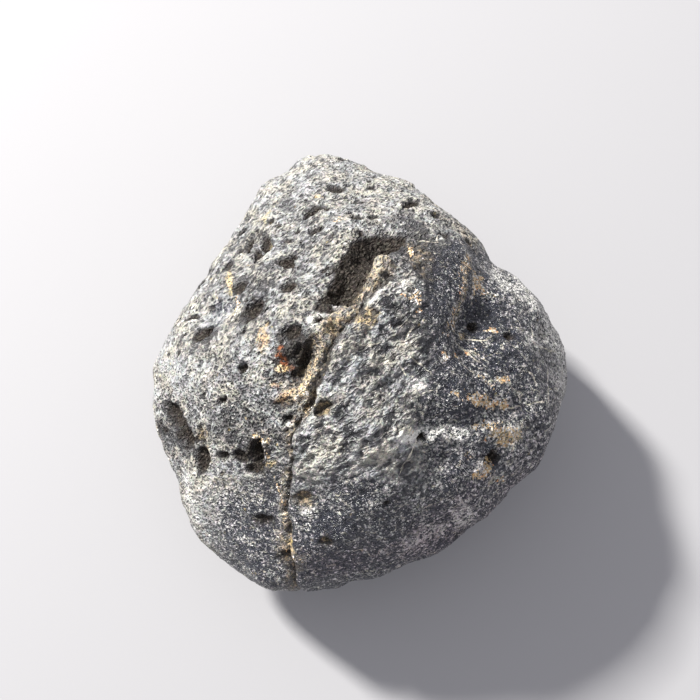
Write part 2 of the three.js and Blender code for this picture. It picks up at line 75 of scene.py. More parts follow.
# Bearing, elevation, length, width, turn, rise.
SWELLS = [
    (8, 35, 1.8, 1.4, 90, 0.5), (9, 4, 8, 6, 90, 0.8), (15, 33, 9, 6, 108, -1.3), (18, 7, 5, 6, 0, 0.5),
    (22, 14, 9, 7, 120, 1), (31, 9, 5, 4.5, 55, 0.8), (32, 15, 4, 5, 157, -0.8),
    (38, 5, 5, 4, 90, -0.8), (38, 22, 9, 6, 110, -0.8), (59, 72, 8, 6, 30, 0.6),
    (75, -22, 13, 9, 165, 0.9), (97, -4, 12, 9, 0, 0.7), (107, 4, 10, 8, 0, 0.5),
    (115, -5, 5, 8, 0, 0.6), (127, -3, 4, 7, 0, 0.4), (145, 2, 5, 7, 0, -0.5),
    (150, -16, 16, 10, 20, 0.9), (152, 72, 3.2, 3.2, 0, 0.6), (159, 19, 7, 3.5, 120, -1.4),
    (175, -1, 5, 6, 0, 0.4), (186, 59, 2, 1.5, 73, 0.7), (190, 65, 9, 6, 155, -1.1),
    (192, -2, 9, 6, 0, 0.7), (205, 55, 14, 8, 60, -0.7), (209, 2, 8, 5, 90, -0.8),
    (220, -2, 8, 9, 0, 0.6), (225, 6, 12, 10, 0, 0.6), (236, -4, 8, 8, 0, 0.4), (246, 0, 8, 9, 0, 1.2),
    (252, 26, 2, 1.6, 34, 0.5), (264, -6, 5, 6, 0, 0.5), (265, -20, 12, 9, 150, 0.8),
    (270, 0, 5, 7, 0, -0.5), (275, 71, 16, 12, 60, 0.5), (290, -4, 8, 8, 0, 0.5),
    (300, 40, 8, 6, 0, -0.4), (312, -2, 7, 7, 0, -0.5), (316, 28, 1.9, 1.3, 14, 0.5),
    (326, 13, 12, 8, 0, 0.3), (350, -24, 16, 9, 10, -1.1), (352, 44, 12, 6, 90, -0.6),
]

WAVE_RISE = 0.2
# Waves per millimetre along X, Y and Z, and where the wave starts.
WAVES = [
    (0.42, 0.25, -0.18, 0.7), (-0.21, 0.44, 0.3, 2.1), (0.16, -0.33, 0.47, 4), (0.5, 0.36, 0.31, 5.2),
]

PIT_WALL = 0.6
PIT_HORIZON = 0.9
PIT_LIP_RISE = 0.12
PIT_LIP_AT = 1.15
PIT_LIP_WIDTH = 0.25
# Bubble pits: bearing, elevation, length, width, turn, depth.
NORTH_PITS = [
    (106, 15, 3.1, 2.6, 160, 1.3), (102, 17, 1.8, 1.3, 150, 0.7), (97, 9, 3.3, 1.6, 170, 0.7),
    (90, 16, 2.2, 1.5, 7, 0.8), (115, 20, 1.3, 1.2, 130, 0.7), (119, 8, 1.2, 1, 126, 0.6),
    (90, 35, 1.3, 1.1, 65, 0.6), (108, 27, 2.8, 1.8, 150, 0.5), (127, 32, 3.8, 2.1, 110, 1.2),
    (136, 46, 2.6, 2.6, 0, 0.7), (106, 51, 2.2, 1.8, 140, 0.5), (126, 14, 4.4, 1.8, 62, 1.2),
    (132, 15, 3.2, 1.6, 67, 1.1), (130, 8, 3.9, 1.2, 39, 0.9), (125, 8, 1.3, 1.1, 0, 0.6),
    (119, 11, 1.1, 1.1, 0, 0.5), (72, 18, 3.2, 2.2, 75, 0.8),
]
WEST_PITS = [
    (156, 37, 3.9, 3.1, 30, 1.2), (147, 23, 3.2, 2.6, 20, 0.6), (169, 17, 3.2, 1.8, 110, 1),
    (162, 8, 2, 1.2, 110, 0.6), (188, 42, 2.1, 1.5, 106, 0.7), (194, 6, 4.6, 2.1, 18, 1.1),
    (201, 8, 5.2, 2.1, 5, 1.2), (204, 14, 2.4, 1.9, 159, 0.8), (211, 11, 3.7, 2.8, 154, 1.3),
    (198, 29, 1.5, 1.1, 70, 0.7), (215, 19, 2.6, 1.2, 41, 0.6), (220, 24, 2.8, 1.4, 27, 0.7),
    (224, 29, 3.4, 2.3, 140, 1.6), (227, 25, 3, 2, 60, 0.8),
]
CROWN_PITS = [
    (152, 72, 1.3, 1.2, 0, 1.3), (199, 68, 8, 3.6, 134, 1.8), (168, 62, 3.4, 2.6, 115, 0.8),
    (155, 78, 1.8, 1.4, 117, 0.7), (225, 48, 1.6, 1.5, 48, 0.8), (216, 51, 3.2, 1.7, 51, 0.4),
    (242, 62, 2.7, 2.3, 56, 0.9), (70, 81, 2.7, 2.2, 60, 0.7), (24, 75, 1.4, 1.3, 69, 0.3),
    (188, 65, 3, 2.4, 150, 0.7), (230, 60, 4.5, 1.2, 101, 0.8),
]
SOUTH_PITS = [
    (249, 29, 2.5, 1.9, 34, 0.6), (260, 20, 1.9, 1.7, 20, 0.6), (239, 13, 4, 1.4, 39, 0.6),
    (250, 10, 3.4, 1.9, 33, 0.8), (305, 47, 1.5, 0.9, 145, 0.8), (321, 26, 2.8, 1.6, 169, 1.1),
    (280, 33, 1.4, 1, 165, 0.6),
]
EAST_PITS = [
    (14, 37, 1.7, 1.4, 90, 0.9), (8, 28, 2, 1.5, 93, 0.7), (10, 13, 3.3, 2.2, 155, 0.35),
]
SIDE_PITS = [
    (350, -8, 2.6, 2, 40, 0.8), (72, 1, 3, 2, 120, 0.8), (300, 3, 2.4, 1.8, 20, 0.7),
    (277, -9, 3, 2.2, 60, 0.9), (181, -14, 3.4, 2.4, 120, 1.1), (121, -10, 3, 2, 30, 0.9),
    (36, -5, 2.4, 1.8, 80, 0.7),
]
UNDERSIDE_PITS = [
    (28, -27, 4, 3, 20, 1.2), (88, -24, 3, 2.4, 60, 1), (118, -33, 5, 3.5, 100, 1.5),
    (166, -30, 3, 2.2, 30, 1), (213, -28, 4.2, 2.6, 140, 1.3), (252, -34, 3, 2.6, 10, 1),
    (291, -23, 3.6, 2.2, 70, 1.1), (334, -31, 5.2, 3.4, 160, 1.4),
]
PITS = NORTH_PITS + WEST_PITS + CROWN_PITS + SOUTH_PITS + EAST_PITS + SIDE_PITS + UNDERSIDE_PITS

# Lines over the surface, each a smooth curve through (bearing, elevation) points.
RUNS_BETWEEN_POINTS = 4
CRACK_LINE = [
    (61, 56), (67, 63), (75, 71), (85, 78), (123, 82), (176, 81), (208, 77), (219, 72), (226, 67),
    (231, 57), (233, 49), (237, 41), (242, 30), (246, 20), (251, 11), (255, 0), (257, -10),
]
TRENCH_LINE = [
    (67, 43), (72, 42), (79, 43), (86, 50), (92, 58), (99, 64), (108, 69), (118, 73),
]
SOUTH_RIDGE_LINE = [(215, 39), (224, 34), (231, 30), (237, 26), (243, 22), (247, 14)]
WEST_STEP_LINE = [(138, 7), (155, 24), (166, 25), (173, 22)]
TERRACE_LINE = [(292, 49), (303, 44), (311, 44), (321, 35), (330, 31), (337, 23), (345, 17)]
VALLEY_LINE = [(51, 18), (37, 29), (23, 36), (4, 44), (342, 47)]

CRACK_DEPTH = 0.8
CRACK_DEEPENING = 0.4
CRACK_DEEPENS_AT = 0.4
CRACK_HALF_WIDTH = 0.4
CRACK_GROOVE_FADE = 0.06
CRACK_SIDE_FADE = 0.1
CRACK_STEP = 1.3
CRACK_STEP_FADING = 0.7
CRACK_STEP_REACH = 5.0
CRACK_LIP_RISE = 0.45
CRACK_LIP_AT = 1.3
CRACK_LIP_WIDTH = 1.2
CURB_RISE = 0.75
CURB_AT = -1.4
CURB_HALF_WIDTH = 1.3
CURB_LEANING = 0.5
CURB_BROADENING = 0.4
CURB_BROADENS_AT = 0.16
CURB_ENDS_AT = 0.44
CURB_FADE = 0.08
CURB_START_FADE = 0.02
CURB_HEAD_SHARE = 0.1
CURB_HEAD_BROADENING = 0.5
TRENCH_DEPTH = 3.2
TRENCH_HALF_WIDTH = 2.1
TRENCH_STEEPNESS = 9
TRENCH_SLOPE_WIDTH = 2.9
TRENCH_SLOPE_STEEPNESS = 4
TRENCH_FADE = 0.08
SOUTH_RIDGE_RISE = 0.45
SOUTH_RIDGE_HALF_WIDTH = 0.6
SOUTH_RIDGE_FADE = 0.2
WEST_STEP_DROP = 0.9
WEST_STEP_WIDTH = 0.8
WEST_STEP_REACH = 3.0
WEST_STEP_FADE = 0.2
TERRACE_RISE = 0.45
TERRACE_HALF_WIDTH = 1.0
TERRACE_TROUGH_AT = 2.2
TERRACE_TROUGH_WIDTH = 1.6
TERRACE_FADE = 0.3
VALLEY_DEPTH = 1.2
VALLEY_HALF_WIDTH = 3.0
VALLEY_FADE = 0.35

# Colour on the skin: bearing, elevation, length, width, turn, strength. Above a strength of 1 a
# patch is full nearly out to its edge.
CLAY_PATCHES = [
    (0, 40, 3.6, 0.9, 36, 0.4), (11, 32, 1.9, 1.5, 90, 0.9), (15, 51, 4.2, 1.6, 120, 0.6),
    (29, 31, 2.4, 2, 21, 0.7), (30, 43, 10.6, 1.8, 146, 0.5), (33, 31, 4.2, 2.4, 130, 0.9),
    (36, 33, 2.3, 6, 119, 0.45), (37, 63, 3.8, 1.1, 147, 0.8), (41, 65, 1, 2.7, 135, 0.7),
    (42, 31, 3.4, 1.6, 119, 0.7), (63, 46, 2.6, 0.9, 117, 0.9), (98, 28, 1.2, 1.7, 75, 0.7),
    (156, 26, 4, 1.2, 23, 0.7), (207, 67, 4, 1.6, 105, 0.5), (216, 62, 3.4, 1.8, 105, 0.55),
    (218, 63, 2.9, 1.6, 108, 0.4), (219, 33, 1.1, 2.4, 112, 0.6), (220, 59, 3, 1.8, 80, 0.6),
    (223, 33, 2.4, 1.4, 60, 0.8), (229, 57, 3, 1.4, 100, 0.5), (250, 12, 2, 2.4, 99, 0.6),
    (300, 52, 1.2, 0.8, 30, 0.5), (316, 27, 1.4, 1.1, 14, 0.7), (316, 32, 1.3, 1.1, 137, 0.5),
    (317, 25, 3.2, 1.7, 168, 1), (319, 18, 2.2, 1.4, 129, 0.8), (329, 26, 1.4, 2.6, 36, 1.6),
    (330, 33, 4, 1.2, 134, 0.9), (331, 27, 5.1, 1.7, 129, 1.6), (338, 38, 7.6, 1.8, 103, 1),
    (346, 37, 2.4, 1, 60, 0.7), (350, 32, 2, 1.2, 100, 0.95), (352, 57, 1.3, 0.9, 0, 1),
    (356, 51, 1.5, 0.9, 60, 1), (359, 44, 1.2, 0.8, 30, 1),
]
OCHRE_PATCHES = [
    (10, 43, 1.6, 0.9, 90, 0.7), (30, 41, 8, 1, 146, 0.35), (97, 83, 0.8, 0.8, 4, 0.9),
    (103, 10, 1.2, 0.9, 152, 0.8), (120, 5, 1.2, 2, 127, 0.6), (146, 15, 4.2, 1.3, 51, 0.9),
    (174, 50, 3.6, 1.6, 21, 0.6), (196, 57, 1.6, 0.9, 68, 0.9), (204, 52, 1.6, 0.8, 58, 0.5),
    (213, 54, 3.2, 0.8, 84, 0.8), (231, 30, 1.2, 1, 40, 0.5), (250, 14, 1.6, 1.2, 60, 0.7),
    (330, 29, 4, 0.8, 129, 0.5), (331, 24, 3.9, 1, 141, 0.6),
]
SILT_PATCHES = [
    (50, 17, 5, 6, 32, 0.4), (56, 47, 6, 3, 129, 0.4), (69, 81, 2.7, 2.4, 60, 1),
    (126, 15, 2.6, 1.2, 60, 0.6), (204, 15, 2.2, 1.8, 67, 0.8), (211, 13, 2.6, 1.8, 160, 0.6),
    (212, 65, 7, 2.2, 105, 0.8), (214, 56, 4.4, 2.2, 76, 0.6), (222, 14, 3, 2.6, 46, 0.3),
    (226, 58, 4.4, 2, 100, 0.5), (242, 62, 2.3, 1.9, 56, 0.55), (249, 29, 2.6, 2, 34, 0.8),
    (250, 13, 3, 4, 99, 0.8), (260, 20, 1.9, 1.4, 19, 0.7),
]
RUST_PATCHES = [
    (174, 50, 2.4, 1.4, 21, 0.25), (182, 58, 0.9, 0.8, 0, 0.9), (187, 57, 1.5, 0.9, 73, 1),
    (192, 58, 1, 0.8, 0, 0.9), (197, 59, 1.8, 1, 68, 0.35), (204, 52, 1.4, 0.8, 58, 0.3),
    (213, 54, 3.4, 0.9, 84, 0.3),
]
# Painted shade: a rose-lavender tint of the coloured shade low on the south and south-east rim.
ROSE_SHADE_PATCHES = [
    (264, 12, 12, 5, 4, 0.6), (289, 17, 4, 3, 140, 0.6), (291, 8, 14, 6, 160, 0.7),
    (299, 17, 12, 5, 23, 0.5), (313, 5, 22, 8, 14, 0.5),
]
# Darkened skin: dirt, and painted shade in the pits and hollows that most of these patches lie on.
DIRT_AND_SHADE_PATCHES = [
    (14, 34, 7, 5, 90, 0.15), (14, 37, 1.7, 1.5, 90, 0.9), (17, 35, 4.5, 3.2, 87, 0.2),
    (56, 43, 12, 7, 140, 0.3), (128, 67, 4.4, 2.4, 50, 0.9), (136, 46, 2.6, 2.4, 0, 0.4),
    (138, 67, 2.4, 1.6, 30, 0.6), (145, 26, 6, 3.4, 108, 0.3), (150, 78, 2.4, 1.8, 60, 0.9),
    (155, 78, 1.8, 1.6, 117, 0.8), (157, 37, 3.9, 3.7, 97, 0.8), (169, 20, 3, 2.2, 60, 0.5),
    (189, 63, 6.6, 5.4, 164, 0.65), (194, 6, 4.8, 2.2, 18, 0.6), (201, 8, 5.4, 2.2, 5, 0.8),
    (211, 29, 8, 4.6, 58, 0.15), (216, 51, 3.3, 1.6, 51, 0.6), (225, 28, 4.2, 3, 148, 0.8),
    (230, 60, 4.4, 1.2, 101, 0.4), (235, 24, 3, 5.8, 44, 0.2), (239, 13, 4.6, 1.6, 39, 0.4),
    (250, 10, 3.8, 2.1, 33, 0.6), (321, 26, 2.6, 1.4, 169, 0.8),
]
# White crust.
CHALK_PATCHES = [
    (1, 6, 4, 3, 90, 0.5), (6, 20, 3.4, 3, 60, 0.6), (7, 6, 4, 4, 0, 1), (9, 12, 4, 3, 40, 0.9),
    (12, 4, 5, 4, 0, 0.9), (12, 10, 4, 3, 13, 1), (17, 4, 5, 4, 0, 1), (20, 14, 4.6, 2.6, 38, 0.8),
    (22, 5, 5, 4, 0, 1), (27, 8, 5, 4, 0, 1), (28, 19, 4.4, 3.2, 35, 0.9), (31, 16, 5, 3.4, 0, 1),
    (53, 62, 3.6, 1.4, 84, 0.5), (70, 73, 4.4, 1.2, 70, 0.4), (150, 70, 2.3, 2, 0, 0.9),
    (217, 1, 6, 3, 174, 0.3), (228, 46, 1.6, 0.7, 70, 0.8), (252, 26, 1.6, 1, 34, 1),
    (290, 14, 5.7, 3, 176, 0.6), (299, 50, 4, 1.4, 150, 1), (302, 48, 3, 1.4, 25, 0.5),
    (304, 14, 3.2, 6.6, 0, 0.6), (309, 47, 5.2, 1.4, 150, 1), (316, 27, 2, 1.3, 14, 0.6),
    (318, 40, 4, 1.3, 140, 0.9), (324, 62, 2.6, 1.2, 98, 0.5), (354, 8, 10, 4, 170, 0.5),
    (356, 10, 4, 3, 90, 0.5),
]
# Smooth skin with painted blue bounce light: bluer glass and less cream frosting, as on the streaked skin.
BLUE_BOUNCE_PATCHES = [
    (40, 36, 14, 10, 120, 0.3), (158, 18, 6.4, 3.8, 8, 1), (275, 10, 20, 8, 0, 0.4),
    (356, 36, 14, 12, 0, 0.4),
]
# Thicker white frosting. The broad patch at bearing 318 and those at 335 and 352, low on the south-east
# and east, also stand for painted light on the side turned from the key light.
FROST_AND_LIGHT_PATCHES = [
    (3, 2, 8, 5, 90, 0.5), (7, 9, 6, 7.4, 124, 0.6), (10, 9, 6, 4, 0, 0.8), (10, 50, 7, 4, 160, 0.3),
    (11, 10, 4.6, 5.6, 13, 0.9), (12, 47, 4.3, 6.3, 165, 0.3), (19, 19, 5, 4, 0, 0.8),
    (20, 13, 5.4, 5.2, 38, 0.9), (21, 48, 5, 5, 0, 0.9), (22, 6, 12, 6, 0, 0.8), (26, 46, 5, 4, 0, 0.9),
    (28, 18, 5, 4.6, 35, 1), (57, 14, 12.8, 3.8, 151, 0.35), (75, 60, 6, 2, 130, 0.5),
    (80, 11, 9, 6, 146, 0.3), (92, -1, 36, 6, 166, 0.3), (100, 50, 5, 4, 40, 0.6),
    (101, 25, 11, 19, 51, 0.1), (143, 25, 3, 2, 60, 0.6), (150, 71, 2.6, 2.3, 0, 0.8),
    (177, 8, 10, 8, 161, 0.7), (188, 0, 5, 4, 90, 0.6), (189, 8, 6, 5, 90, 0.5),
    (192, 47, 5, 4, 0, 0.5), (203, 58, 5, 3, 118, 0.3), (205, 61, 5, 3, 100, 0.8),
    (217, 1, 7, 5, 174, 0.5), (217, 18, 6, 5, 60, 0.5), (223, 41, 6.1, 3.3, 97, 0.3),
    (224, 1, 6.7, 11.6, 73, 0.4), (224, 8, 8, 6, 60, 1), (227, 47, 1.8, 1.2, 70, 0.9),
    (228, 61, 4, 3, 100, 0.8), (232, 22, 5, 5, 0, 0.4), (240, 14, 6, 4, 0, 0.5),
    (240, 54, 5, 2.2, 50, 0.4), (244, 18, 5, 5, 60, 0.7), (252, 26, 1.8, 1.5, 34, 1),
    (253, 44, 8, 2.6, 28, 0.5), (266, 52, 7.2, 4.8, 26, 0.3), (275, 48, 6, 4, 20, 0.8),
    (276, 73, 10, 7, 23, 0.2), (283, 50, 10, 4.4, 0, 0.4), (290, 12, 12, 5, 176, 0.6),
    (300, 50, 6, 2.4, 150, 0.9), (302, 48, 4, 2.6, 25, 0.6), (311, 46, 7, 2, 150, 1),
    (318, 22, 22, 17, 170, 0.45), (321, 37, 7, 3, 140, 0.5), (324, 62, 2, 2.5, 98, 0.8),
    (326, 15, 12, 8, 0, 0.4), (331, 28, 6, 5, 140, 0.8), (335, 22, 6, 5, 0, 1),
    (335, 30, 7, 5, 140, 0.35), (352, 12, 12, 7, 172, 0.5),
]
# Bare dark glass. The patches round the trench's north-east end (bearings 44 to 80) and in the east valley
# (10 to 22) also stand for painted shade.
BARE_AND_SHADE_PATCHES = [
    (6, 25, 5, 4, 0, 0.3), (10, 30, 5.2, 4.3, 86, 0.2), (14, 35, 5.5, 6.5, 83, 0.6),
    (22, 37, 3.3, 7.7, 143, 0.5), (44, 46, 18, 10, 116, 0.65), (46, 66, 2.1, 3.5, 50, 0.5),
    (57, 38, 9, 6, 155, 0.7), (58, 46, 10, 6, 150, 1), (64, 34, 7, 3, 129, 0.8),
    (65, 64, 5, 3, 130, 0.3), (68, 49, 4, 4, 0, 0.8), (80, 67, 3, 3, 0, 0.8), (123, 56, 8, 5, 22, 0.3),
    (130, 30, 26, 24, 30, 0.35), (145, 22, 5, 3.4, 108, 0.7), (148, 69, 2.4, 2.6, 111, 0.5),
    (151, 37, 1.2, 7.3, 105, 1), (155, 78, 2, 1.8, 117, 0.9), (156, 14, 3.2, 9, 127, 0.35),
    (157, 36, 4.2, 4, 97, 1), (163, 40, 3, 5.8, 31, 0.5), (168, 62, 3.9, 2.6, 115, 0.8),
    (169, 20, 4, 3, 60, 0.6), (172, 14, 5, 4, 80, 0.9), (189, 65, 7, 4.4, 155, 1),
    (197, 5, 9, 3.8, 20, 1), (199, 1, 4, 3, 62, 0.5), (210, 48, 7.6, 8.2, 58, 0.2),
    (211, 29, 9, 5.6, 58, 0.6), (216, 51, 3.6, 2, 51, 0.7), (223, 35, 2.8, 4.9, 51, 0.9),
    (230, 42, 3.2, 7, 123, 0.7), (230, 47, 2.4, 5.2, 42, 0.5), (235, 24, 3.4, 7, 44, 0.7),
    (239, 12, 6, 2.4, 39, 0.6), (240, 3, 6, 4, 0, 0.5), (250, 10, 5, 3, 33, 0.8),
    (254, 14, 23, 8, 15, 0.35), (258, 57, 4, 4, 0, 0.5), (260, 26, 6, 4, 0, 0.9),
    (265, 67, 4, 3, 0, 0.3), (285, 33, 15.6, 11, 179, 0.15), (350, 55, 11, 14, 114, 0.4),
    (354, 37, 9, 8, 90, 0.4),
]

# Thin pale threads in the skin, through (bearing, elevation) points.
THREADS = [
    [(3, 47), (358, 43), (356, 41)], [(2, 47), (360, 42), (357, 39)], [(353, 49), (350, 46), (350, 42)],
    [(350, 31), (346, 26), (343, 23)], [(355, 24), (353, 22)], [(4, 29), (0, 26)],
    [(11, 18), (6, 19), (5, 15), (5, 7)], [(358, 15), (352, 17), (348, 17)],
    [(347, 19), (344, 23), (340, 28)], [(351, 32), (346, 37)], [(8, 43), (6, 38), (7, 35)],
    [(42, 28), (36, 31), (30, 31)], [(63, 38), (56, 37), (57, 33)],
    [(13, 70), (356, 74), (327, 77), (311, 77)], [(347, 84), (301, 87), (211, 87)],
    [(330, 73), (325, 68), (326, 65), (320, 63), (319, 60), (326, 58)],
    [(343, 70), (339, 65), (337, 62)], [(333, 28), (333, 24), (338, 23)], [(328, 22), (332, 24)],
    [(288, 42), (296, 46), (303, 49), (306, 46)],
]
THREAD_REACH = 1.0

# How far the large features' edges wander, and the size of the wandering.
EDGE_WANDER = 0.42
EDGE_WANDER_SIZE = 2.6
# The height over the table by which the fine relief is full, and the least downward share of a
# direction that is followed down to the table.
FOOT_FADE = 1.2
LEAST_FALL = 0.1

# Where each kind of skin begins and over how far it takes over, from the lump's middle.
CRACK_BLEND = 3
BORDER_SWAY = 2
BORDER_SWAY_SIZE = 7
FAR_EAST = (5, 7)
FAR_NORTH = (9, 4)
FAR_NORTH_STARTS = (3, 4)
FAR_SOUTH = (13, 10)
FAR_WEST = (11, 9)
FAR_WEST_STARTS = (-22, 4)
RIDGES_ABOVE = (2, 6)
DRAWN_PORES_NORTH = (-2, 8)
WEST_STREAKS = 0.8

# Fine relief. Flow ridges: share, bearing, stretch, size, seed; and their height's middle.
FLOWS = [(0.55, 34, 2.4, 1.5, 17), (0.45, 24, 1.8, 0.85, 19)]
FLOW_SHARPNESS = 2.4
FLOW_MIDDLE = 0.33
# Etched pits: bearing, stretch, cell, seed, chance in a cell, least and greatest share of it.
SLOTS = (48, 1.8, 0.75, 23, 0.5, 0.25, 0.6)
PORES = (0, 1, 0.8, 29, 0.5, 0.25, 0.6)
SPARSE_PITS = (10, 1.4, 1.9, 37, 0.26, 0.18, 0.42)
LOOSENING = 0.35
LOOSENING_SIZE = 1.4
LUMPS_RISE = 0.32
LUMPS_SIZE = 4.2
GRAIN_RISE = 0.08
GRAIN_SIZE = 0.75
CURB_CRUMB_RISE = 0.3
CURB_CRUMB_SIZE = 1.5
SLOT_DEPTH = 1.1
SPARSE_DEPTH = 0.42
SPARSE_LOST_TO_STREAKS = 0.7
SPARSE_LOST_TO_RIDGES = 0.6
PORES_IN_STREAKS = 0.45
PORES_IN_RIDGES = 0.2
# Crests and hollows: the middle level, and what each kind of relief adds or takes away.
CREST_LEVEL = 0.55
CREST_OF_GRAIN = 0.3
CREST_LOST_TO_SLOTS = 0.5
CREST_LOST_TO_PORES = 0.45
CREST_LOST_TO_SPARSE = 0.5

# What the values stored on the points are made of: levels, strengths from 0 to 1, and sizes and
# widths in millimetres. A pair is where something begins and over how much more it gets full.
FROST_LEVEL = 0.48
FROST_BY_SKIN = {"drawn": 0.02, "ridged": -0.02, "streaked": -0.08}
FROST_UNEVENNESS = 0.07
FROST_UNEVEN_SIZE = 5
FROST_PATCH_STRENGTH = 0.5
PATCH_EDGE = 0.35
FROST_PATCH_EDGE = 0.9
ROSE_SHADE_EDGE = 1.2
PATCH_RAGGEDNESS = 0.7
PATCH_RAGGED_SIZE = 1.1
# Dirt and painted shade: how strongly bubble pits, small pits, the trench and the crack's groove are
# darkened, and how much less the curb is.
PIT_DIRT_AND_SHADE = 1.6
SPARSE_DIRT_AND_SHADE = 0.75
SPARSE_DIRT_AND_SHADE_REACH = 1.3
TRENCH_DIRT_AND_SHADE = (0.2, 0.22)
GROOVE_DIRT_AND_SHADE = 0.9
GROOVE_HALF_WIDTH = 0.45
CURB_LESS_DIRT_AND_SHADE = 0.9
SILT_LEVEL = 0.75
SILT_RAGGEDNESS = 0.7
SILT_RAGGED_SIZE = 1.3
SILT_ON_LINE = 0.9
SILT_LOST_TO_GROOVE = 0.7
SILT_STRIP_AT = -0.7
SILT_STRIP_HALF_WIDTH = 0.6
SILT_STRIP_BEGINS = (0.42, 0.06)
SILT_STRIP_FADE = 0.03
RIDGE_CLAY = 0.7
RIDGE_CLAY_HALF_WIDTH = 0.35
RIDGE_CLAY_FADE = 0.1
THREAD_WANDER = 0.3
THREAD_WANDER_SIZE = 1.2
THREAD_LEVEL = 0.75
THREAD_BREAKS = 1.2
THREAD_BREAK_SIZE = 0.9

NOISE_GAIN = 1.5
# Large numbers that mix a cell's place and seed well, and how far each mixing shifts.
HASH_MIXERS = [np.uint32(n) for n in (374761393, 668265263, 2246822519, 3266489917)]
HASH_SHIFTS = [np.uint32(n) for n in (15, 13, 16)]
# The seed of each random field, so that it is the same on every run.
SEEDS = {
    "lumps": 3, "sway": 5, "blue_bounce": 107, "edges": 31, "grain": 41, "curb crumbs": 43, "loose": 61,
    "frost": 71, "frost patches": 73, "bare": 79, "silt edges": 83, "silt": 89, "clay": 91,
    "ochre": 97, "rust": 101, "rose_shade": 103, "dirt_and_shade": 109, "threads": 111, "thread breaks": 113,
    "chalk": 117,
}

# ---- The skin's finishes --------------------------------------------------------------------
# How patterns are moved about: the size of the wandering and its reach, in millimetres.
BENDING = (1.3, 1.0)
CRUMPLING = (0.25, 0.35)
# Sizes of noises and cells in millimetres. A noise's pair is its detail and roughness.
COARSE_SIZE = 1.5
FINE_SIZE = 0.36
FINE_DETAIL = 1.5
BROAD_SIZE = 3.5
BROAD_DETAIL = 3.0
MOTTLE_SIZE = 2.4
MOTTLE_ROUGHNESS = (5.0, 0.72)
CRUMB_SIZE = 0.8
CRUMB_ROUGHNESS = (4.0, 0.8)
FLECK_SIZE = 0.5
FLECK_ROUGHNESS = (2.0, 0.7)
GAP_SIZE = 0.7
GAP_ROUGHNESS = (3.0, 0.75)
WEB_SIZE = 2.2
FLOW_GRAIN_SIZE = 1.25
STREAK_SIZE = 0.42
SMALL_PORE_CELL = 0.42
LARGE_PORE_CELL = 0.95
SPECK_CELL = 0.6
SALT_CELL = 0.26
# Bearing and stretch of the patterns that are drawn out.
SLOT_WAY = (48, 1.9)
FLOW_WAY = (30, 2.0)
STREAK_WAY = (-6, 2.4)
FLECK_WAY = (-6, 1.6)

# A finish goes from none to full as its pattern goes from the first number to the second. Two
# more numbers are what it goes from and to instead of 0 and 1.
SMALL_PORE_WALL = (0.12, 0.6)
LARGE_PORE_WALL = (0.14, 0.4)
FLOW_RIDGE_SIDES = (0.13, 0.0)
STREAK_SIDES = (0.4, 0.6)
STREAKED_SIDES = (0.1, 0.9)
CREAM_SIDES = (0.38, 0.64)
SPECK_EDGE = (0.45, 0.25)
WHITE_SPECK_CHANCE = (0.86, 0.9)
OCHRE_SPECK_CHANCE = (0.99, 0.995)
SALT_SPOT_EDGE = (0.55, 0.3)
SALT_GAP_CHANCE = (0.4, 0.3)
GLINT_SIDES = (1.2, 1.32)
FLECK_SIDES = (0.81, 0.9)
GAP_SIDES = (0.47, 0.43)
WEB_SIDES = (0.016, 0.006)
WEB_PATCHES = (0.48, 0.6)
THREAD_SIDES = (0.09, 0.04)
THREAD_WEAR = (0.3, 0.5, 0.5)
CHALK_SIDES = (0.45, 0.62)
POWDER_CHANCE = (0.12, 0.34)
DUST_ON_DIRT_AND_SHADE = (0.5, 0.66, 0.0, 0.5)
SILT_WEAR = (0.3, 0.55, 0.45)
SILT_CRESTS = (0.2, 0.8)
SILT_CRUMBS = (0.54, 0.46, 0.3, 1.0)
CLAY_SIDES = (2.33, 2.5)
CLAY_PATCH_SIDES = (0.1, 0.3)
PEACH_CHANCE = (0.7, 0.9)
WHITE_CLAY_CHANCE = (0.65, 0.8)
OCHRE_SIDES = (0.4, 0.56)
OCHRE_CLAY_SIDES = (0.4, 0.6)
RUST_SIDES = (0.36, 0.5)
HOLLOW_SHINE = (0.2, 0.9, 0.5, 0.12)
SPECKS_BEFORE_FROST = 0.4

# How much of a coat covers what is below. A pair is (elsewhere, on streaked skin).
WHITE_SPECK_COVER = 0.8
OCHRE_SPECK_COVER = 0.45
SALT_GAP_COVER = (0.35, 0.6)
GLINT_COVER = 0.8
FLECK_COVER = 0.6
GAP_COVER = (0.25, 0.8)
WEB_COVER = 0.7
SILT_COVER = 0.9
SPECKLE_COVER = (0.14, 0.34)
SPECKLE_TINT = 0.07
CREAM_LOST_TO_BLUE_BOUNCE = 0.8
ALL_OVER = (1.0, 1.0, 1.0, 1.0)

# What each pattern adds to the frosting's score, to other finishes, to roughness and to height.
SCORE_OF_GRAIN = 0.55
SCORE_OF_CRESTS = 0.5
SCORE_OF_FINE = 1.1
SCORE_OF_MOTTLE = 2.2
SCORE_OF_HOLLOWS = -1.0
SCORE_OF_SALT = 1.5
SCORE_OF_STREAKS = -0.5
GLINTS_OF_COARSE = 0.6
GLINTS_OF_FROST = 0.36
FLECKS_OF_FROST = 0.1
FLECKS_OF_COARSE = 0.4
CHALK_OF_GRAIN = 0.3
CLAY_OF_SALT = 0.8
CLAY_OF_CRUMBS = 2.5
ROUGHNESS_OF_FROST = 0.3
ROUGHNESS_OF_STAINS = 0.2
ROUGHNESS_OF_HOLLOWS = 0.35
ROUGHNESS_OF_STREAKS = -0.08
HEIGHT_OF_GRAIN = 0.7
HEIGHT_OF_COARSE = 0.4
HEIGHT_OF_FLECKS = 0.8
HEIGHT_OF_GAPS = -0.5
BUMP_STRENGTH = 0.9
GLASS_IOR = 1.5
FLOOR_ROUGHNESS = 0.85

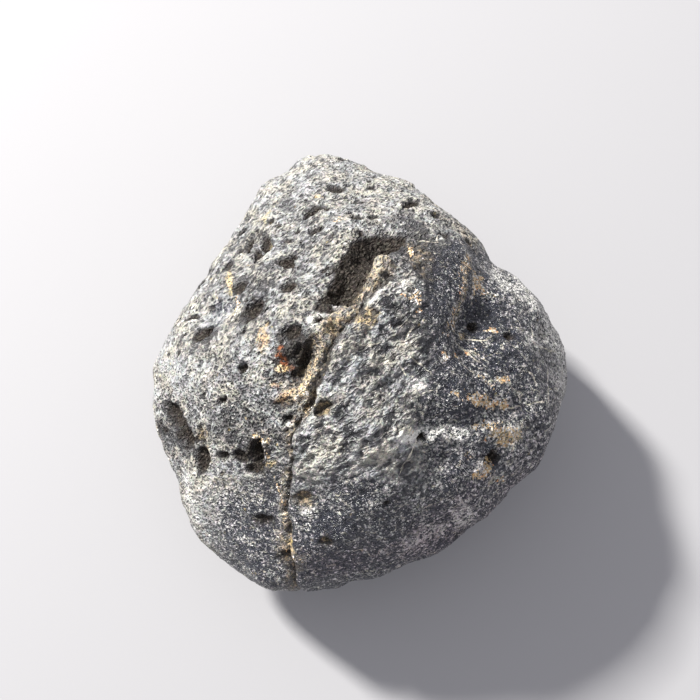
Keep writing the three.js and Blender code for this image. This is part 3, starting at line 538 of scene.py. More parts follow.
# ---- The stage ------------------------------------------------------------------------------
FLOOR_POINTS = 9
SENSOR_WIDTH = 36.0
# In metres: how near the camera still sees, where it aims from the lump's middle, and how far it
# stands to the left of that line and above it.
NEAREST_SEEN = 0.002
AIM_FROM_MIDDLE = (-0.0001, -0.0037, 0.0)
CAMERA_LEFT = 0.00124
CAMERA_ABOVE = 0.00313


def unit(bearing, elevation):
    """The unit direction at a bearing and elevation in degrees."""
    b, e = math.radians(bearing), math.radians(elevation)
    return np.array([math.cos(e) * math.cos(b), math.cos(e) * math.sin(b), math.sin(e)])


def smooth(value):
    """0 below 0, 1 above 1, and 3v^2 - 2v^3 between."""
    v = np.clip(value, 0.0, 1.0)
    return v * v * (3.0 - 2.0 * v)


def bell(value):
    """exp(-v^2)."""
    return np.exp(-np.square(value))


def through_points(before, here, after, beyond, share):
    """The Catmull-Rom curve between here and after: a cubic whose slope at each point is half the
    step from its neighbour before to its neighbour after."""
    slope = after - before
    bend = 2 * before - 5 * here + 4 * after - beyond
    twist = 3 * here - before - 3 * after + beyond
    return 0.5 * (2 * here + slope * share + bend * share**2 + twist * share**3)


# ---- Shape ----------------------------------------------------------------------------------
def side_reach(bearing):
    """Reach of the side at bearings in radians: a closed smooth curve through SIDE_REACH."""
    count = len(SIDE_REACH)
    place = (bearing / (2 * math.pi)) % 1.0 * count
    i = np.floor(place).astype(int)
    spots = [SIDE_REACH[(i + k) % count] for k in (-1, 0, 1, 2)]
    return through_points(*spots, place - i)


def body_reach(dirs):
    """Distance from the middle to the rounded lump. Without faces it is the superellipsoid
    (flat/side)^n + (up/rise)^n = 1; each worn face at distance d, facing f, then adds (f/d)^p to
    reach^-p, which is a soft smallest-of-all."""
    level = np.hypot(dirs[:, 0], dirs[:, 1])
    side = level / side_reach(np.arctan2(dirs[:, 1], dirs[:, 0]))
    rise = np.where(dirs[:, 2] > 0, dirs[:, 2] / CROWN_RISE, -dirs[:, 2] / KEEL_DROP)
    lump = (side**SIDE_ROUNDNESS + rise**SIDE_ROUNDNESS) ** (-1 / SIDE_ROUNDNESS)
    total = lump**-FACE_CRISPNESS
    for bearing, tilt, distance in WORN_FACES:
        facing = np.maximum(dirs @ unit(bearing, 90 - tilt), 0)
        total += (facing / distance) ** FACE_CRISPNESS
    return total ** (-1 / FACE_CRISPNESS)


def body_points(dirs):
    """Points of the rounded lump: each direction times its reach."""
    return dirs * body_reach(dirs)[:, None]


def feature_place(bearing, elevation, turn):
    """Centre of a feature on the lump, and its outward, long and short directions."""
    out = unit(bearing, elevation)
    level = unit(bearing + 90, 0)
    up = np.cross(out, level)
    t = math.radians(turn)
    long_way = level * math.cos(t) + up * math.sin(t)
    short_way = up * math.cos(t) - level * math.sin(t)
    return body_points(out[None])[0], out, long_way, short_way


def oval_share(points, feature):
    """Distance from an oval's centre as a share of its radius:
    2 * length of (along/length, across/width)."""
    bearing, elevation, length, width, turn = feature[:5]
    centre, _, long_way, short_way = feature_place(bearing, elevation, turn)
    offset = points - centre
    return 2 * np.hypot(offset @ long_way / length, offset @ short_way / width)


def line_runs(line):
    """Ends of the short straight runs of a surface line: the smooth curve through its points,
    brought back onto the lump."""
    given = body_points(np.array([unit(*spot) for spot in line]))
    given = np.vstack([2 * given[0] - given[1], given, 2 * given[-1] - given[-2]])
    shares = np.arange(RUNS_BETWEEN_POINTS) / RUNS_BETWEEN_POINTS
    spots = [through_points(*given[i : i + 4], share) for i in range(len(line) - 1) for share in shares]
    spots = np.array(spots + [given[-2]])
    return body_points(spots / np.linalg.norm(spots, axis=1, keepdims=True))


def beside_line(points, line):
    """Where points lie by a line: signed distance across it (left is positive) and share along."""
    spots = line_runs(line)
    lengths = np.linalg.norm(np.diff(spots, axis=0), axis=1)
    done = np.concatenate([[0], np.cumsum(lengths)])
    away = np.full(len(points), np.inf)
    across = np.full(len(points), np.inf)
    along = np.zeros(len(points))
    for k, length in enumerate(lengths):
        run = spots[k + 1] - spots[k]
        left = np.cross(spots[k] + spots[k + 1], run)
        share = np.clip((points - spots[k]) @ run / length**2, 0, 1)
        offset = points - spots[k] - share[:, None] * run
        distance = np.linalg.norm(offset, axis=1)
        nearer = distance < away
        away = np.where(nearer, distance, away)
        across = np.where(nearer, distance * np.sign(offset @ left), across)
        along = np.where(nearer, (done[k] + share * length) / done[-1], along)
    return across, along


def taper(along, share):
    """Fades a line in and out over a share of its length."""
    return smooth(along / share) * smooth((1 - along) / share)


def swell_relief(points):
    """Broad swells and hollows: rise * exp(-(2 along/length)^2 - (2 across/width)^2 - (in/8)^2)."""
    rise = np.zeros(len(points))
    for swell in SWELLS:
        centre, out, _, _ = feature_place(*swell[:2], 0)
        depth_in = (points - centre) @ out
        rise += swell[5] * bell(oval_share(points, swell)) * bell(depth_in / SWELL_REACH_IN)
    return rise


def wave_relief(points):
    """Gentle crossed waves: the sum of sin(waves . point + start)."""
    return WAVE_RISE * sum(np.sin(points @ np.array(wave[:3]) + wave[3]) for wave in WAVES)


def pit_relief(points, dirs):
    """Bubble pits: -depth (1 - s^2)^0.6 inside the oval, with a low lip at s = 1.15. Also gives
    how deep in a pit each point lies, from 0 to 1."""
    rise = np.zeros(len(points))
    inside = np.zeros(len(points))
    for pit in PITS:
        near = np.nonzero(dirs @ unit(*pit[:2]) > PIT_HORIZON)[0]
        share = oval_share(points[near], pit)
        bowl = np.maximum(1 - share**2, 0) ** PIT_WALL
        lip = PIT_LIP_RISE * bell((share - PIT_LIP_AT) / PIT_LIP_WIDTH)
        rise[near] += pit[5] * (lip - bowl)
        inside[near] = np.maximum(inside[near], bowl * min(pit[5], 1))
    return rise, inside


def curb_share(across, along):
    """1 on the flat top of the curb beside the crack, exp(-share^4) across it; it has a broad head
    and narrows, then broadens again and leans west on its way down."""
    broad = smooth((along - CURB_BROADENS_AT) / CURB_BROADENS_AT)
    head = CURB_HEAD_BROADENING * bell(along / CURB_HEAD_SHARE)
    half_width = CURB_HALF_WIDTH + CURB_BROADENING * broad + head
    share = (across - CURB_AT + CURB_LEANING * broad + head) / half_width
    ends = smooth(along / CURB_START_FADE) * smooth((CURB_ENDS_AT - along) / CURB_FADE)
    return bell(share**2) * ends


def crack_relief(across, along):
    """The crack: a groove, the west side stepped down from it and a low lip on the east side."""
    deepened = smooth((along - CRACK_DEEPENS_AT) / CRACK_SIDE_FADE)
    depth = (CRACK_DEPTH + CRACK_DEEPENING * deepened) * taper(along, CRACK_GROOVE_FADE)
    fade = taper(along, CRACK_SIDE_FADE)
    side = smooth(-across / CRACK_HALF_WIDTH) * np.exp(np.minimum(across, 0) / CRACK_STEP_REACH)
    step = (CRACK_STEP - CRACK_STEP_FADING * along) * fade * side
    lip = CRACK_LIP_RISE * fade * bell((across - CRACK_LIP_AT) / CRACK_LIP_WIDTH)
    curb = CURB_RISE * curb_share(across, along)
    return lip + curb - depth * bell(across / CRACK_HALF_WIDTH) - step


def trench_relief(across, along):
    """The trench: -depth / (1 + (across/half width)^9), a steep wall on the crack's side, and with
    a wider half width and power 4 on the far side, where it slopes in."""
    wall = (np.maximum(across, 0) / TRENCH_HALF_WIDTH) ** TRENCH_STEEPNESS
    slope = (np.maximum(-across, 0) / TRENCH_SLOPE_WIDTH) ** TRENCH_SLOPE_STEEPNESS
    return -TRENCH_DEPTH * taper(along, TRENCH_FADE) / (1 + wall + slope)


def line_relief(points):
    """The lesser lines: the south ridge, the west step, the terrace and the valley."""
    across, along = beside_line(points, SOUTH_RIDGE_LINE)
    rise = SOUTH_RIDGE_RISE * taper(along, SOUTH_RIDGE_FADE) * bell(across / SOUTH_RIDGE_HALF_WIDTH)
    across, along = beside_line(points, WEST_STEP_LINE)
    side = smooth(0.5 - across / WEST_STEP_WIDTH) * np.exp(np.minimum(across, 0) / WEST_STEP_REACH)
    rise -= WEST_STEP_DROP * taper(along, WEST_STEP_FADE) * side
    across, along = beside_line(points, TERRACE_LINE)
    trough = bell((across - TERRACE_TROUGH_AT) / TERRACE_TROUGH_WIDTH)
    rise += TERRACE_RISE * taper(along, TERRACE_FADE) * (bell(across / TERRACE_HALF_WIDTH) - trough)
    across, along = beside_line(points, VALLEY_LINE)
    rise -= VALLEY_DEPTH * taper(along, VALLEY_FADE) * bell(across / VALLEY_HALF_WIDTH)
    return rise


# ---- Random fields, the same on every run -----------------------------------------------------
def lattice_hash(cells, seed):
    """A number from 0 to 1 for each whole-number cell, by mixing its three numbers and a seed."""
    first, second, third, fourth = HASH_MIXERS
    c = cells.astype(np.int64).astype(np.uint32)
    h = c[:, 0] * first + c[:, 1] * second
    h = h + c[:, 2] * third + np.uint32(seed * int(fourth) % 2**32)
    h = (h ^ (h >> HASH_SHIFTS[0])) * third
    h = (h ^ (h >> HASH_SHIFTS[1])) * fourth
    h = h ^ (h >> HASH_SHIFTS[2])
    return h.astype(np.float64) / 2**32


def noise(points, size, seed):
    """Smooth gradient noise from about -1 to 1 with a lattice of the given size: each lattice
    corner has a random slope, and the eight slopes round a point are blended."""
    place = points / size
    cell = np.floor(place)
    inside = place - cell
    blend = inside**3 * (inside * (inside * 6 - 15) + 10)
    total = np.zeros(len(points))
    for corner in itertools.product((0, 1), repeat=3):
        at = cell + np.array(corner)
        slope = np.stack([lattice_hash(at, seed * 3 + k) for k in range(3)], 1) * 2 - 1
        weight = np.prod(np.where(np.array(corner) == 1, blend, 1 - blend), axis=1)
        total += weight * np.einsum("ij,ij->i", slope, inside - np.array(corner))
    return total * NOISE_GAIN


def rough_noise(points, size, seed, layers=3):
    """Noise with finer layers added, each half the size and half the height of the last."""
    return sum(noise(points, size / 2**k, seed + 11 * k) / 2**k for k in range(layers))


def wander(points, size, seed, layers=1):
    """Three unlike noises, as a step along X, Y and Z for each point."""
    return np.stack([rough_noise(points, size, seed + k, layers) for k in range(3)], 1)


def scattered_pits(points, size, seed, chance, smallest, largest):
    """Round pits at random: each lattice cell may hold one, at a random place and of a random
    radius r, as shares of the cell. Gives the largest (1 - (d/r)^2)^0.6 round each point."""
    place = points / size
    cell = np.floor(place)
    deepest = np.zeros(len(points))
    for step in itertools.product((-1, 0, 1), repeat=3):
        at = cell + np.array(step)
        centre = at + np.stack([lattice_hash(at, seed * 7 + k) for k in range(3)], 1)
        radius = smallest + (largest - smallest) * lattice_hash(at, seed * 7 + 3)
        share = np.linalg.norm(place - centre, axis=1) / radius
        held = lattice_hash(at, seed * 7 + 4) < chance
        deepest = np.maximum(deepest, held * np.maximum(1 - share**2, 0) ** PIT_WALL)
    return deepest


def drawn_out(points, bearing, stretch):
    """Points squeezed along a level bearing, so that noise on them comes out long that way."""
    way = unit(bearing, 0)
    return points - (1 - 1 / stretch) * (points @ way)[:, None] * way


# ---- The lump's mesh ------------------------------------------------------------------------
def grid_squares(count):
    """The four corners of every square of a grid of count by count points, in turn."""
    spot = np.arange(count**2).reshape(count, count)
    return np.stack([spot[:-1, :-1], spot[1:, :-1], spot[1:, 1:], spot[:-1, 1:]], -1).reshape(-1, 4)


def ball_grid(count, pull):
    """Unit directions and square faces of a ball: six grids of a and b from -45 to 45 degrees,
    each carried to (tan a, tan b, 1) made one long and turned onto its side of a cube. Adding
    pull to the height gathers the points towards the crown. Shared edges are merged."""
    t = np.tan(np.linspace(-math.pi / 4, math.pi / 4, count + 1))
    a, b = np.meshgrid(t, t, indexing="ij")
    one = np.ones_like(a)
    sides = [(a, b, one), (b, a, -one), (one, a, b), (-one, b, a), (b, one, a), (a, -one, b)]
    dirs = np.concatenate([np.stack(side, -1).reshape(-1, 3) for side in sides])
    dirs /= np.linalg.norm(dirs, axis=1, keepdims=True)
    faces = np.concatenate([grid_squares(count + 1) + k * (count + 1) ** 2 for k in range(6)])
    rounded = np.round(dirs * 1e6).astype(np.int64)
    _, first, merged = np.unique(rounded, axis=0, return_index=True, return_inverse=True)
    if len(first) != 6 * count**2 + 2:
        raise RuntimeError("the ball's six grids did not join into one closed surface")
    dirs = dirs[first] + np.array([0, 0, pull])
    return dirs / np.linalg.norm(dirs, axis=1, keepdims=True), merged.ravel()[faces]


def outward_normals(points, faces):
    """Average facing at each point: the crossed diagonals of the squares round it, added."""
    corners = [points[faces[:, k]] for k in range(4)]
    facing = np.cross(corners[2] - corners[0], corners[3] - corners[1])
    normals = np.zeros_like(points)
    for k in range(4):
        np.add.at(normals, faces[:, k], facing)
    return normals / np.linalg.norm(normals, axis=1, keepdims=True)


def lump_form(dirs):
    """The lump's points from its middle, in mm, with its features' edges broken up, and what the
    skin needs to know about each point."""
    body = body_points(dirs)
    spots = body + EDGE_WANDER * wander(body, EDGE_WANDER_SIZE, SEEDS["edges"], 3)
    pits, in_pit = pit_relief(spots, dirs)
    crack_across, crack_along = beside_line(spots, CRACK_LINE)
    trench_across, trench_along = beside_line(spots, TRENCH_LINE)
    trench = trench_relief(trench_across, trench_along)
    reach = np.linalg.norm(body, axis=1) + swell_relief(body) + wave_relief(body) + pits
    reach += crack_relief(crack_across, crack_along) + trench + line_relief(spots)
    resting = reach * -dirs[:, 2] > MIDDLE[2]
    reach = np.where(resting, MIDDLE[2] / np.maximum(-dirs[:, 2], LEAST_FALL), reach)
    knows = {
        "in_pit": in_pit,
        "in_trench": -trench / TRENCH_DEPTH,
        "crack_across": crack_across,
        "crack_along": crack_along,
    }
    return dirs * reach[:, None], body, knows


def past(way, border, sway=0.0):
    """0 up to where a border begins and 1 past its blend, along one way."""
    begins, blend = border
    return smooth((way - begins + sway) / blend)


def regions(body, knows):
    """Shares from 0 to 1 of the kinds of skin: flow ridges on the crown, close streaks on the east
    side and low round the south, drawn-out pores on the north-west slope, the crumbly curb."""
    x, y, z = body.T
    east = smooth(0.5 + knows["crack_across"] / CRACK_BLEND)
    sway = BORDER_SWAY * noise(body, BORDER_SWAY_SIZE, SEEDS["sway"])
    far_north = past(y, FAR_NORTH, sway) * past(x, FAR_NORTH_STARTS)
    far_west = past(-y, FAR_WEST, sway) * past(x, FAR_WEST_STARTS)
    far = np.maximum(np.maximum(past(x, FAR_EAST, sway), far_north), past(-y, FAR_SOUTH, sway))
    streaked = east * far + WEST_STREAKS * (1 - east) * far_west
    ridged = east * (1 - streaked) * past(z, RIDGES_ABOVE)
    drawn = (1 - east) * (1 - streaked) * past(y, DRAWN_PORES_NORTH, sway)
    curb = curb_share(knows["crack_across"], knows["crack_along"])
    return {"ridged": ridged, "streaked": streaked, "drawn": drawn, "curb": curb}


def flow_ridges(points, bearing, stretch, size, seed):
    """Ridges drawn out along a bearing, 1 on the line where noise crosses 0: 1 - 2.4 |noise|."""
    return 1 - FLOW_SHARPNESS * np.abs(noise(drawn_out(points, bearing, stretch), size, seed))


def etched_pits(points, kind):
    """Scattered pits drawn out along a bearing."""
    bearing, stretch, *rest = kind
    return scattered_pits(drawn_out(points, bearing, stretch), *rest)


def skin_relief(body, parts, settings):
    """Fine relief outward, in mm, how much each point is a crest (1) or a hollow (0), and how deep
    it is in one of the sparse larger pits, from 0 to 1."""
    ridged, streaked, drawn = parts["ridged"], parts["streaked"], parts["drawn"]
    loose = body + LOOSENING * wander(body, LOOSENING_SIZE, SEEDS["loose"])
    ridges = sum(share * flow_ridges(loose, *flow) for share, *flow in FLOWS)
    slots = etched_pits(loose, SLOTS)
    pores = etched_pits(loose, PORES)
    sparse = etched_pits(loose, SPARSE_PITS)
    sparse *= 1 - SPARSE_LOST_TO_STREAKS * streaked - SPARSE_LOST_TO_RIDGES * ridged
    porous = np.clip(1 - ridged - streaked - drawn, 0, 1)
    porous = porous + PORES_IN_STREAKS * streaked + PORES_IN_RIDGES * ridged
    grain = rough_noise(loose, GRAIN_SIZE, SEEDS["grain"], 2)
    crumbs = parts["curb"] * rough_noise(loose, CURB_CRUMB_SIZE, SEEDS["curb crumbs"], 2)
    relief = LUMPS_RISE * rough_noise(body, LUMPS_SIZE, SEEDS["lumps"])
    relief += settings.ridge_height / MM * ridged * ridges
    relief -= settings.pore_depth / MM * (SLOT_DEPTH * drawn * slots + porous * pores)
    relief += GRAIN_RISE * grain - SPARSE_DEPTH * sparse + CURB_CRUMB_RISE * crumbs
    crest = CREST_LEVEL + ridged * (ridges - FLOW_MIDDLE) + CREST_OF_GRAIN * grain
    crest -= CREST_LOST_TO_SLOTS * drawn * slots + CREST_LOST_TO_PORES * porous * pores
    crest -= CREST_LOST_TO_SPARSE * sparse
    return relief, np.clip(crest, 0, 1), sparse


def patch_field(points, patches, seed, edge=PATCH_EDGE):
    """How strongly each point lies in a list of oval patches with ragged edges, from 0 to 1: full
    inside, fading where the share of the oval's radius plus noise passes 1."""
    field = np.zeros(len(points))
    ragged = PATCH_RAGGEDNESS * rough_noise(points, PATCH_RAGGED_SIZE, seed)
    for patch in patches:
        share = oval_share(points, patch)
        centre = feature_place(*patch[:2], 0)[0]
        near = np.linalg.norm(points - centre, axis=1) < max(patch[2:4])
        field = np.maximum(field, near * patch[5] * smooth(0.5 + (1 - share + ragged) / edge / 2))
    return field


def thread_fields(body):
    """Signed distance from the nearest thread in mm, brought from -1..1 to 0..1, and how near one
    is, from 0 beyond THREAD_REACH to 1, broken up by noise."""
    nearest = np.full(len(body), THREAD_REACH)
    spots = body + THREAD_WANDER * wander(body, THREAD_WANDER_SIZE, SEEDS["threads"])
    for line in THREADS:
        across = beside_line(spots, line)[0]
        nearest = np.where(np.abs(across) < np.abs(nearest), across, nearest)
    near = smooth(2 - 2 * np.abs(nearest) / THREAD_REACH)
    breaks = THREAD_BREAKS * noise(body, THREAD_BREAK_SIZE, SEEDS["thread breaks"])
    return 0.5 + 0.5 * nearest, near * smooth(THREAD_LEVEL + breaks)


def frost_field(body, parts):
    """How frosted the skin is: a level for its kind, broad noise, frosted and bare patches. Some
    frosted patches also stand for painted light, and some bare ones for painted shade.
    """
    frost = FROST_LEVEL + sum(more * parts[kind] for kind, more in FROST_BY_SKIN.items())
    frost += FROST_UNEVENNESS * rough_noise(body, FROST_UNEVEN_SIZE, SEEDS["frost"])
    frosted = patch_field(body, FROST_AND_LIGHT_PATCHES, SEEDS["frost patches"], FROST_PATCH_EDGE)
    bare = patch_field(body, BARE_AND_SHADE_PATCHES, SEEDS["bare"], FROST_PATCH_EDGE)
    return frost + FROST_PATCH_STRENGTH * (frosted - bare)


def dirt_and_shade_field(body, parts, knows, sparse, groove):
    """Dirt and painted shade that darken the skin: in pits, in the trench and in the crack's groove,
    less on the curb, and in patches."""
    hollow = SPARSE_DIRT_AND_SHADE * smooth(SPARSE_DIRT_AND_SHADE_REACH * sparse)
    hollow = np.maximum(hollow, smooth(knows["in_pit"] * PIT_DIRT_AND_SHADE))
    hollow = np.maximum(hollow, past(knows["in_trench"], TRENCH_DIRT_AND_SHADE))
    hollow = np.maximum(hollow, GROOVE_DIRT_AND_SHADE * groove) * (1 - CURB_LESS_DIRT_AND_SHADE * parts["curb"])
    return np.maximum(hollow, patch_field(body, DIRT_AND_SHADE_PATCHES, SEEDS["dirt_and_shade"]))


def silt_field(body, parts, knows, ragged, groove):
    """Silt on the curb, in a strip beside the lower crack except in its groove, and in patches."""
    across, along = knows["crack_across"], knows["crack_along"]
    strip = bell((across - SILT_STRIP_AT) / SILT_STRIP_HALF_WIDTH) * past(along, SILT_STRIP_BEGINS)
    strip = strip * taper(along, SILT_STRIP_FADE)
    by_crack = np.clip(SILT_ON_LINE * (parts["curb"] + strip) * ragged, 0, 1)
    by_crack = by_crack * (1 - SILT_LOST_TO_GROOVE * groove)
    return np.maximum(patch_field(body, SILT_PATCHES, SEEDS["silt"]), by_crack)


def clay_field(body, ragged):
    """Clay along the south ridge and in patches."""
    across, along = beside_line(body, SOUTH_RIDGE_LINE)
    ridge = bell(across / RIDGE_CLAY_HALF_WIDTH) * taper(along, RIDGE_CLAY_FADE) * ragged
    return np.maximum(patch_field(body, CLAY_PATCHES, SEEDS["clay"]), RIDGE_CLAY * ridge)


def skin_colours(body, parts, knows, crest, sparse):
    """Values from 0 to 1 that are stored on the points for the finishes of the skin."""
    groove = bell(knows["crack_across"] / GROOVE_HALF_WIDTH)
    groove = groove * taper(knows["crack_along"], CRACK_GROOVE_FADE)
    ragged = SILT_LEVEL + SILT_RAGGEDNESS * rough_noise(body, SILT_RAGGED_SIZE, SEEDS["silt edges"])
    thread_across, thread_near = thread_fields(body)
    values = {
        "frost": frost_field(body, parts),
        "crest": crest,
        "hollow": dirt_and_shade_field(body, parts, knows, sparse, groove),
        "thread_across": thread_across,
        "thread_near": thread_near,
        "silt": silt_field(body, parts, knows, ragged, groove),
        "clay": clay_field(body, ragged),
        "ochre": patch_field(body, OCHRE_PATCHES, SEEDS["ochre"]),
        "blue_bounce": np.maximum(parts["streaked"], patch_field(body, BLUE_BOUNCE_PATCHES, SEEDS["blue_bounce"])),
        "rust": patch_field(body, RUST_PATCHES, SEEDS["rust"]),
        "rose_shade": patch_field(body, ROSE_SHADE_PATCHES, SEEDS["rose_shade"], ROSE_SHADE_EDGE),
        "chalk": patch_field(body, CHALK_PATCHES, SEEDS["chalk"]),
    }
    return {key: np.clip(value, 0, 1) for key, value in values.items()}


def smooth_mesh(name, points, faces, values):
    """A mesh object in metres with smooth faces and one number per point for each value."""
    mesh = bpy.data.meshes.new(name)
    mesh.vertices.add(len(points))
    mesh.vertices.foreach_set("co", (points * MM).astype(np.float32).ravel())
    mesh.loops.add(faces.size)
    mesh.loops.foreach_set("vertex_index", faces.astype(np.int32).ravel())
    mesh.polygons.add(len(faces))
    mesh.polygons.foreach_set("loop_start", np.arange(0, faces.size, 4, dtype=np.int32))
    mesh.update(calc_edges=True)
    mesh.polygons.foreach_set("use_smooth", np.ones(len(faces), dtype=bool))
    for key, value in values.items():
        layer = mesh.attributes.new(key, "FLOAT", "POINT")
        layer.data.foreach_set("value", value.astype(np.float32))
    if mesh.validate():
        raise RuntimeError(name + " came out as a broken mesh")
    piece = bpy.data.objects.new(name, mesh)
    bpy.context.scene.collection.objects.link(piece)
    return piece


# ---- Materials ------------------------------------------------------------------------------
class Nodes:
    """Short calls for building a material's nodes. Sizes and reaches are in millimetres."""

    def __init__(self, material):
        material.use_nodes = True
        self.tree = material.node_tree
        self.tree.nodes.clear()

    def add(self, kind, **values):
        node = self.tree.nodes.new(kind)
        for key, value in values.items():
            setattr(node, key, value)
        return node

    def link(self, source, target):
        self.tree.links.new(source, target)

    def put(self, target, value):
        """Links a socket to the target, or sets a plain number or colour on it."""
        if isinstance(value, bpy.types.NodeSocket):
            self.link(value, target)
        else:
            target.default_value = value

    def attribute(self, name):
        return self.add("ShaderNodeAttribute", attribute_name=name).outputs["Fac"]

    def math(self, operation, a, b=0.0, clamp=False):
        node = self.add("ShaderNodeMath", operation=operation, use_clamp=clamp)
        self.put(node.inputs[0], a)
        self.put(node.inputs[1], b)
        return node.outputs[0]

    def times(self, product, *factors):
        """All the values multiplied together."""
        for factor in factors:
            product = self.math("MULTIPLY", product, factor)
        return product

    def from_middle(self, value):
        """How far a value lies from 0.5, either way."""
        return self.math("ABSOLUTE", self.math("SUBTRACT", value, 0.5))

    def total(self, *terms):
        """The sum of (value, weight) pairs."""
        so_far = 0.0
        for value, weight in terms:
            node = self.add("ShaderNodeMath", operation="MULTIPLY_ADD")
            self.put(node.inputs[0], value)
            self.put(node.inputs[1], weight)
            self.put(node.inputs[2], so_far)
            so_far = node.outputs[0]
        return so_far

    def mix(self, share, first, second, blend="MIX"):
        node = self.add("ShaderNodeMix", data_type="RGBA", blend_type=blend)
        self.put(node.inputs["Factor"], share)
        self.put(node.inputs[6], first)
        self.put(node.inputs[7], second)
        return node.outputs[2]

    def remap(self, value, low, high, to_low=0.0, to_high=1.0):
        """A smooth change from to_low, where the value is low, to to_high, where it is high."""
        node = self.add("ShaderNodeMapRange", clamp=True, interpolation_type="SMOOTHSTEP")
        self.put(node.inputs["Value"], value)
        numbers = {"From Min": low, "From Max": high, "To Min": to_low, "To Max": to_high}
        for key, number in numbers.items():
            node.inputs[key].default_value = number
        return node.outputs["Result"]

    def split(self, colour):
        """A colour's three parts, which serve as three unlike numbers."""
        node = self.add("ShaderNodeSeparateColor")
        self.link(colour, node.inputs[0])
        return list(node.outputs)

    def noise(self, place, size, detail=2.0, roughness=0.6, output="Fac"):
        """Smooth noise from 0 to 1, with finer layers as the detail and roughness say."""
        node = self.add("ShaderNodeTexNoise")
        self.link(place, node.inputs["Vector"])
        node.inputs["Scale"].default_value = 1.0 / (size * MM)
        node.inputs["Detail"].default_value = detail
        node.inputs["Roughness"].default_value = roughness
        return node.outputs[output]

    def cells(self, place, size):
        """How far each place is from its cell's middle, and the cell's own random colour."""
        node = self.add("ShaderNodeTexVoronoi")
        self.link(place, node.inputs["Vector"])
        node.inputs["Scale"].default_value = 1.0 / (size * MM)
        return node.outputs["Distance"], node.outputs["Color"]

    def bent(self, place, size, reach):
        """Place moved about by noise of one size, by up to a reach."""
        node = self.add("ShaderNodeVectorMath", operation="MULTIPLY_ADD")
        self.link(self.noise(place, size, 1.0, output="Color"), node.inputs[0])
        node.inputs[1].default_value = [reach * MM] * 3
        self.link(place, node.inputs[2])
        return node.outputs[0]

    def drawn_out(self, place, bearing, stretch):
        """Place squeezed along a level bearing, so that patterns come out long that way."""
        node = self.add("ShaderNodeMapping", vector_type="TEXTURE")
        self.link(place, node.inputs["Vector"])
        node.inputs["Rotation"].default_value = (0.0, 0.0, math.radians(bearing))
        node.inputs["Scale"].default_value = (stretch, 1.0, 1.0)
        return node.outputs[0]


def two_sizes_of_pore(nodes, place):
    """0 in a pore and 1 outside: small cells' middles, and fewer and larger ones."""
    small = nodes.remap(nodes.cells(place, SMALL_PORE_CELL)[0], *SMALL_PORE_WALL)
    large = nodes.remap(nodes.cells(place, LARGE_PORE_CELL)[0], *LARGE_PORE_WALL)
    return nodes.times(small, large)


def fine_grain(nodes, place):
    """Grain finer than the mesh, from 0 in a pore to 1 on a crest, mixed by the kind of skin:
    round pores, pores drawn out, flow ridges where noise crosses its middle, and close streaks."""
    pores = two_sizes_of_pore(nodes, place)
    slots = two_sizes_of_pore(nodes, nodes.drawn_out(place, *SLOT_WAY))
    flow = nodes.noise(nodes.drawn_out(place, *FLOW_WAY), FLOW_GRAIN_SIZE)
    ridges = nodes.remap(nodes.from_middle(flow), *FLOW_RIDGE_SIDES)
    streaks = nodes.noise(nodes.drawn_out(place, *STREAK_WAY), STREAK_SIZE)
    streaks = nodes.remap(streaks, *STREAK_SIDES)
    ridged, streaked, drawn = (nodes.attribute(name) for name in ("ridged", "streaked", "drawn"))
    kinds = nodes.total((ridged, 1.0), (streaked, 1.0), (drawn, 1.0))
    plain = nodes.math("SUBTRACT", 1.0, kinds, True)
    return nodes.total((pores, plain), (slots, drawn), (ridges, ridged), (streaks, streaked))


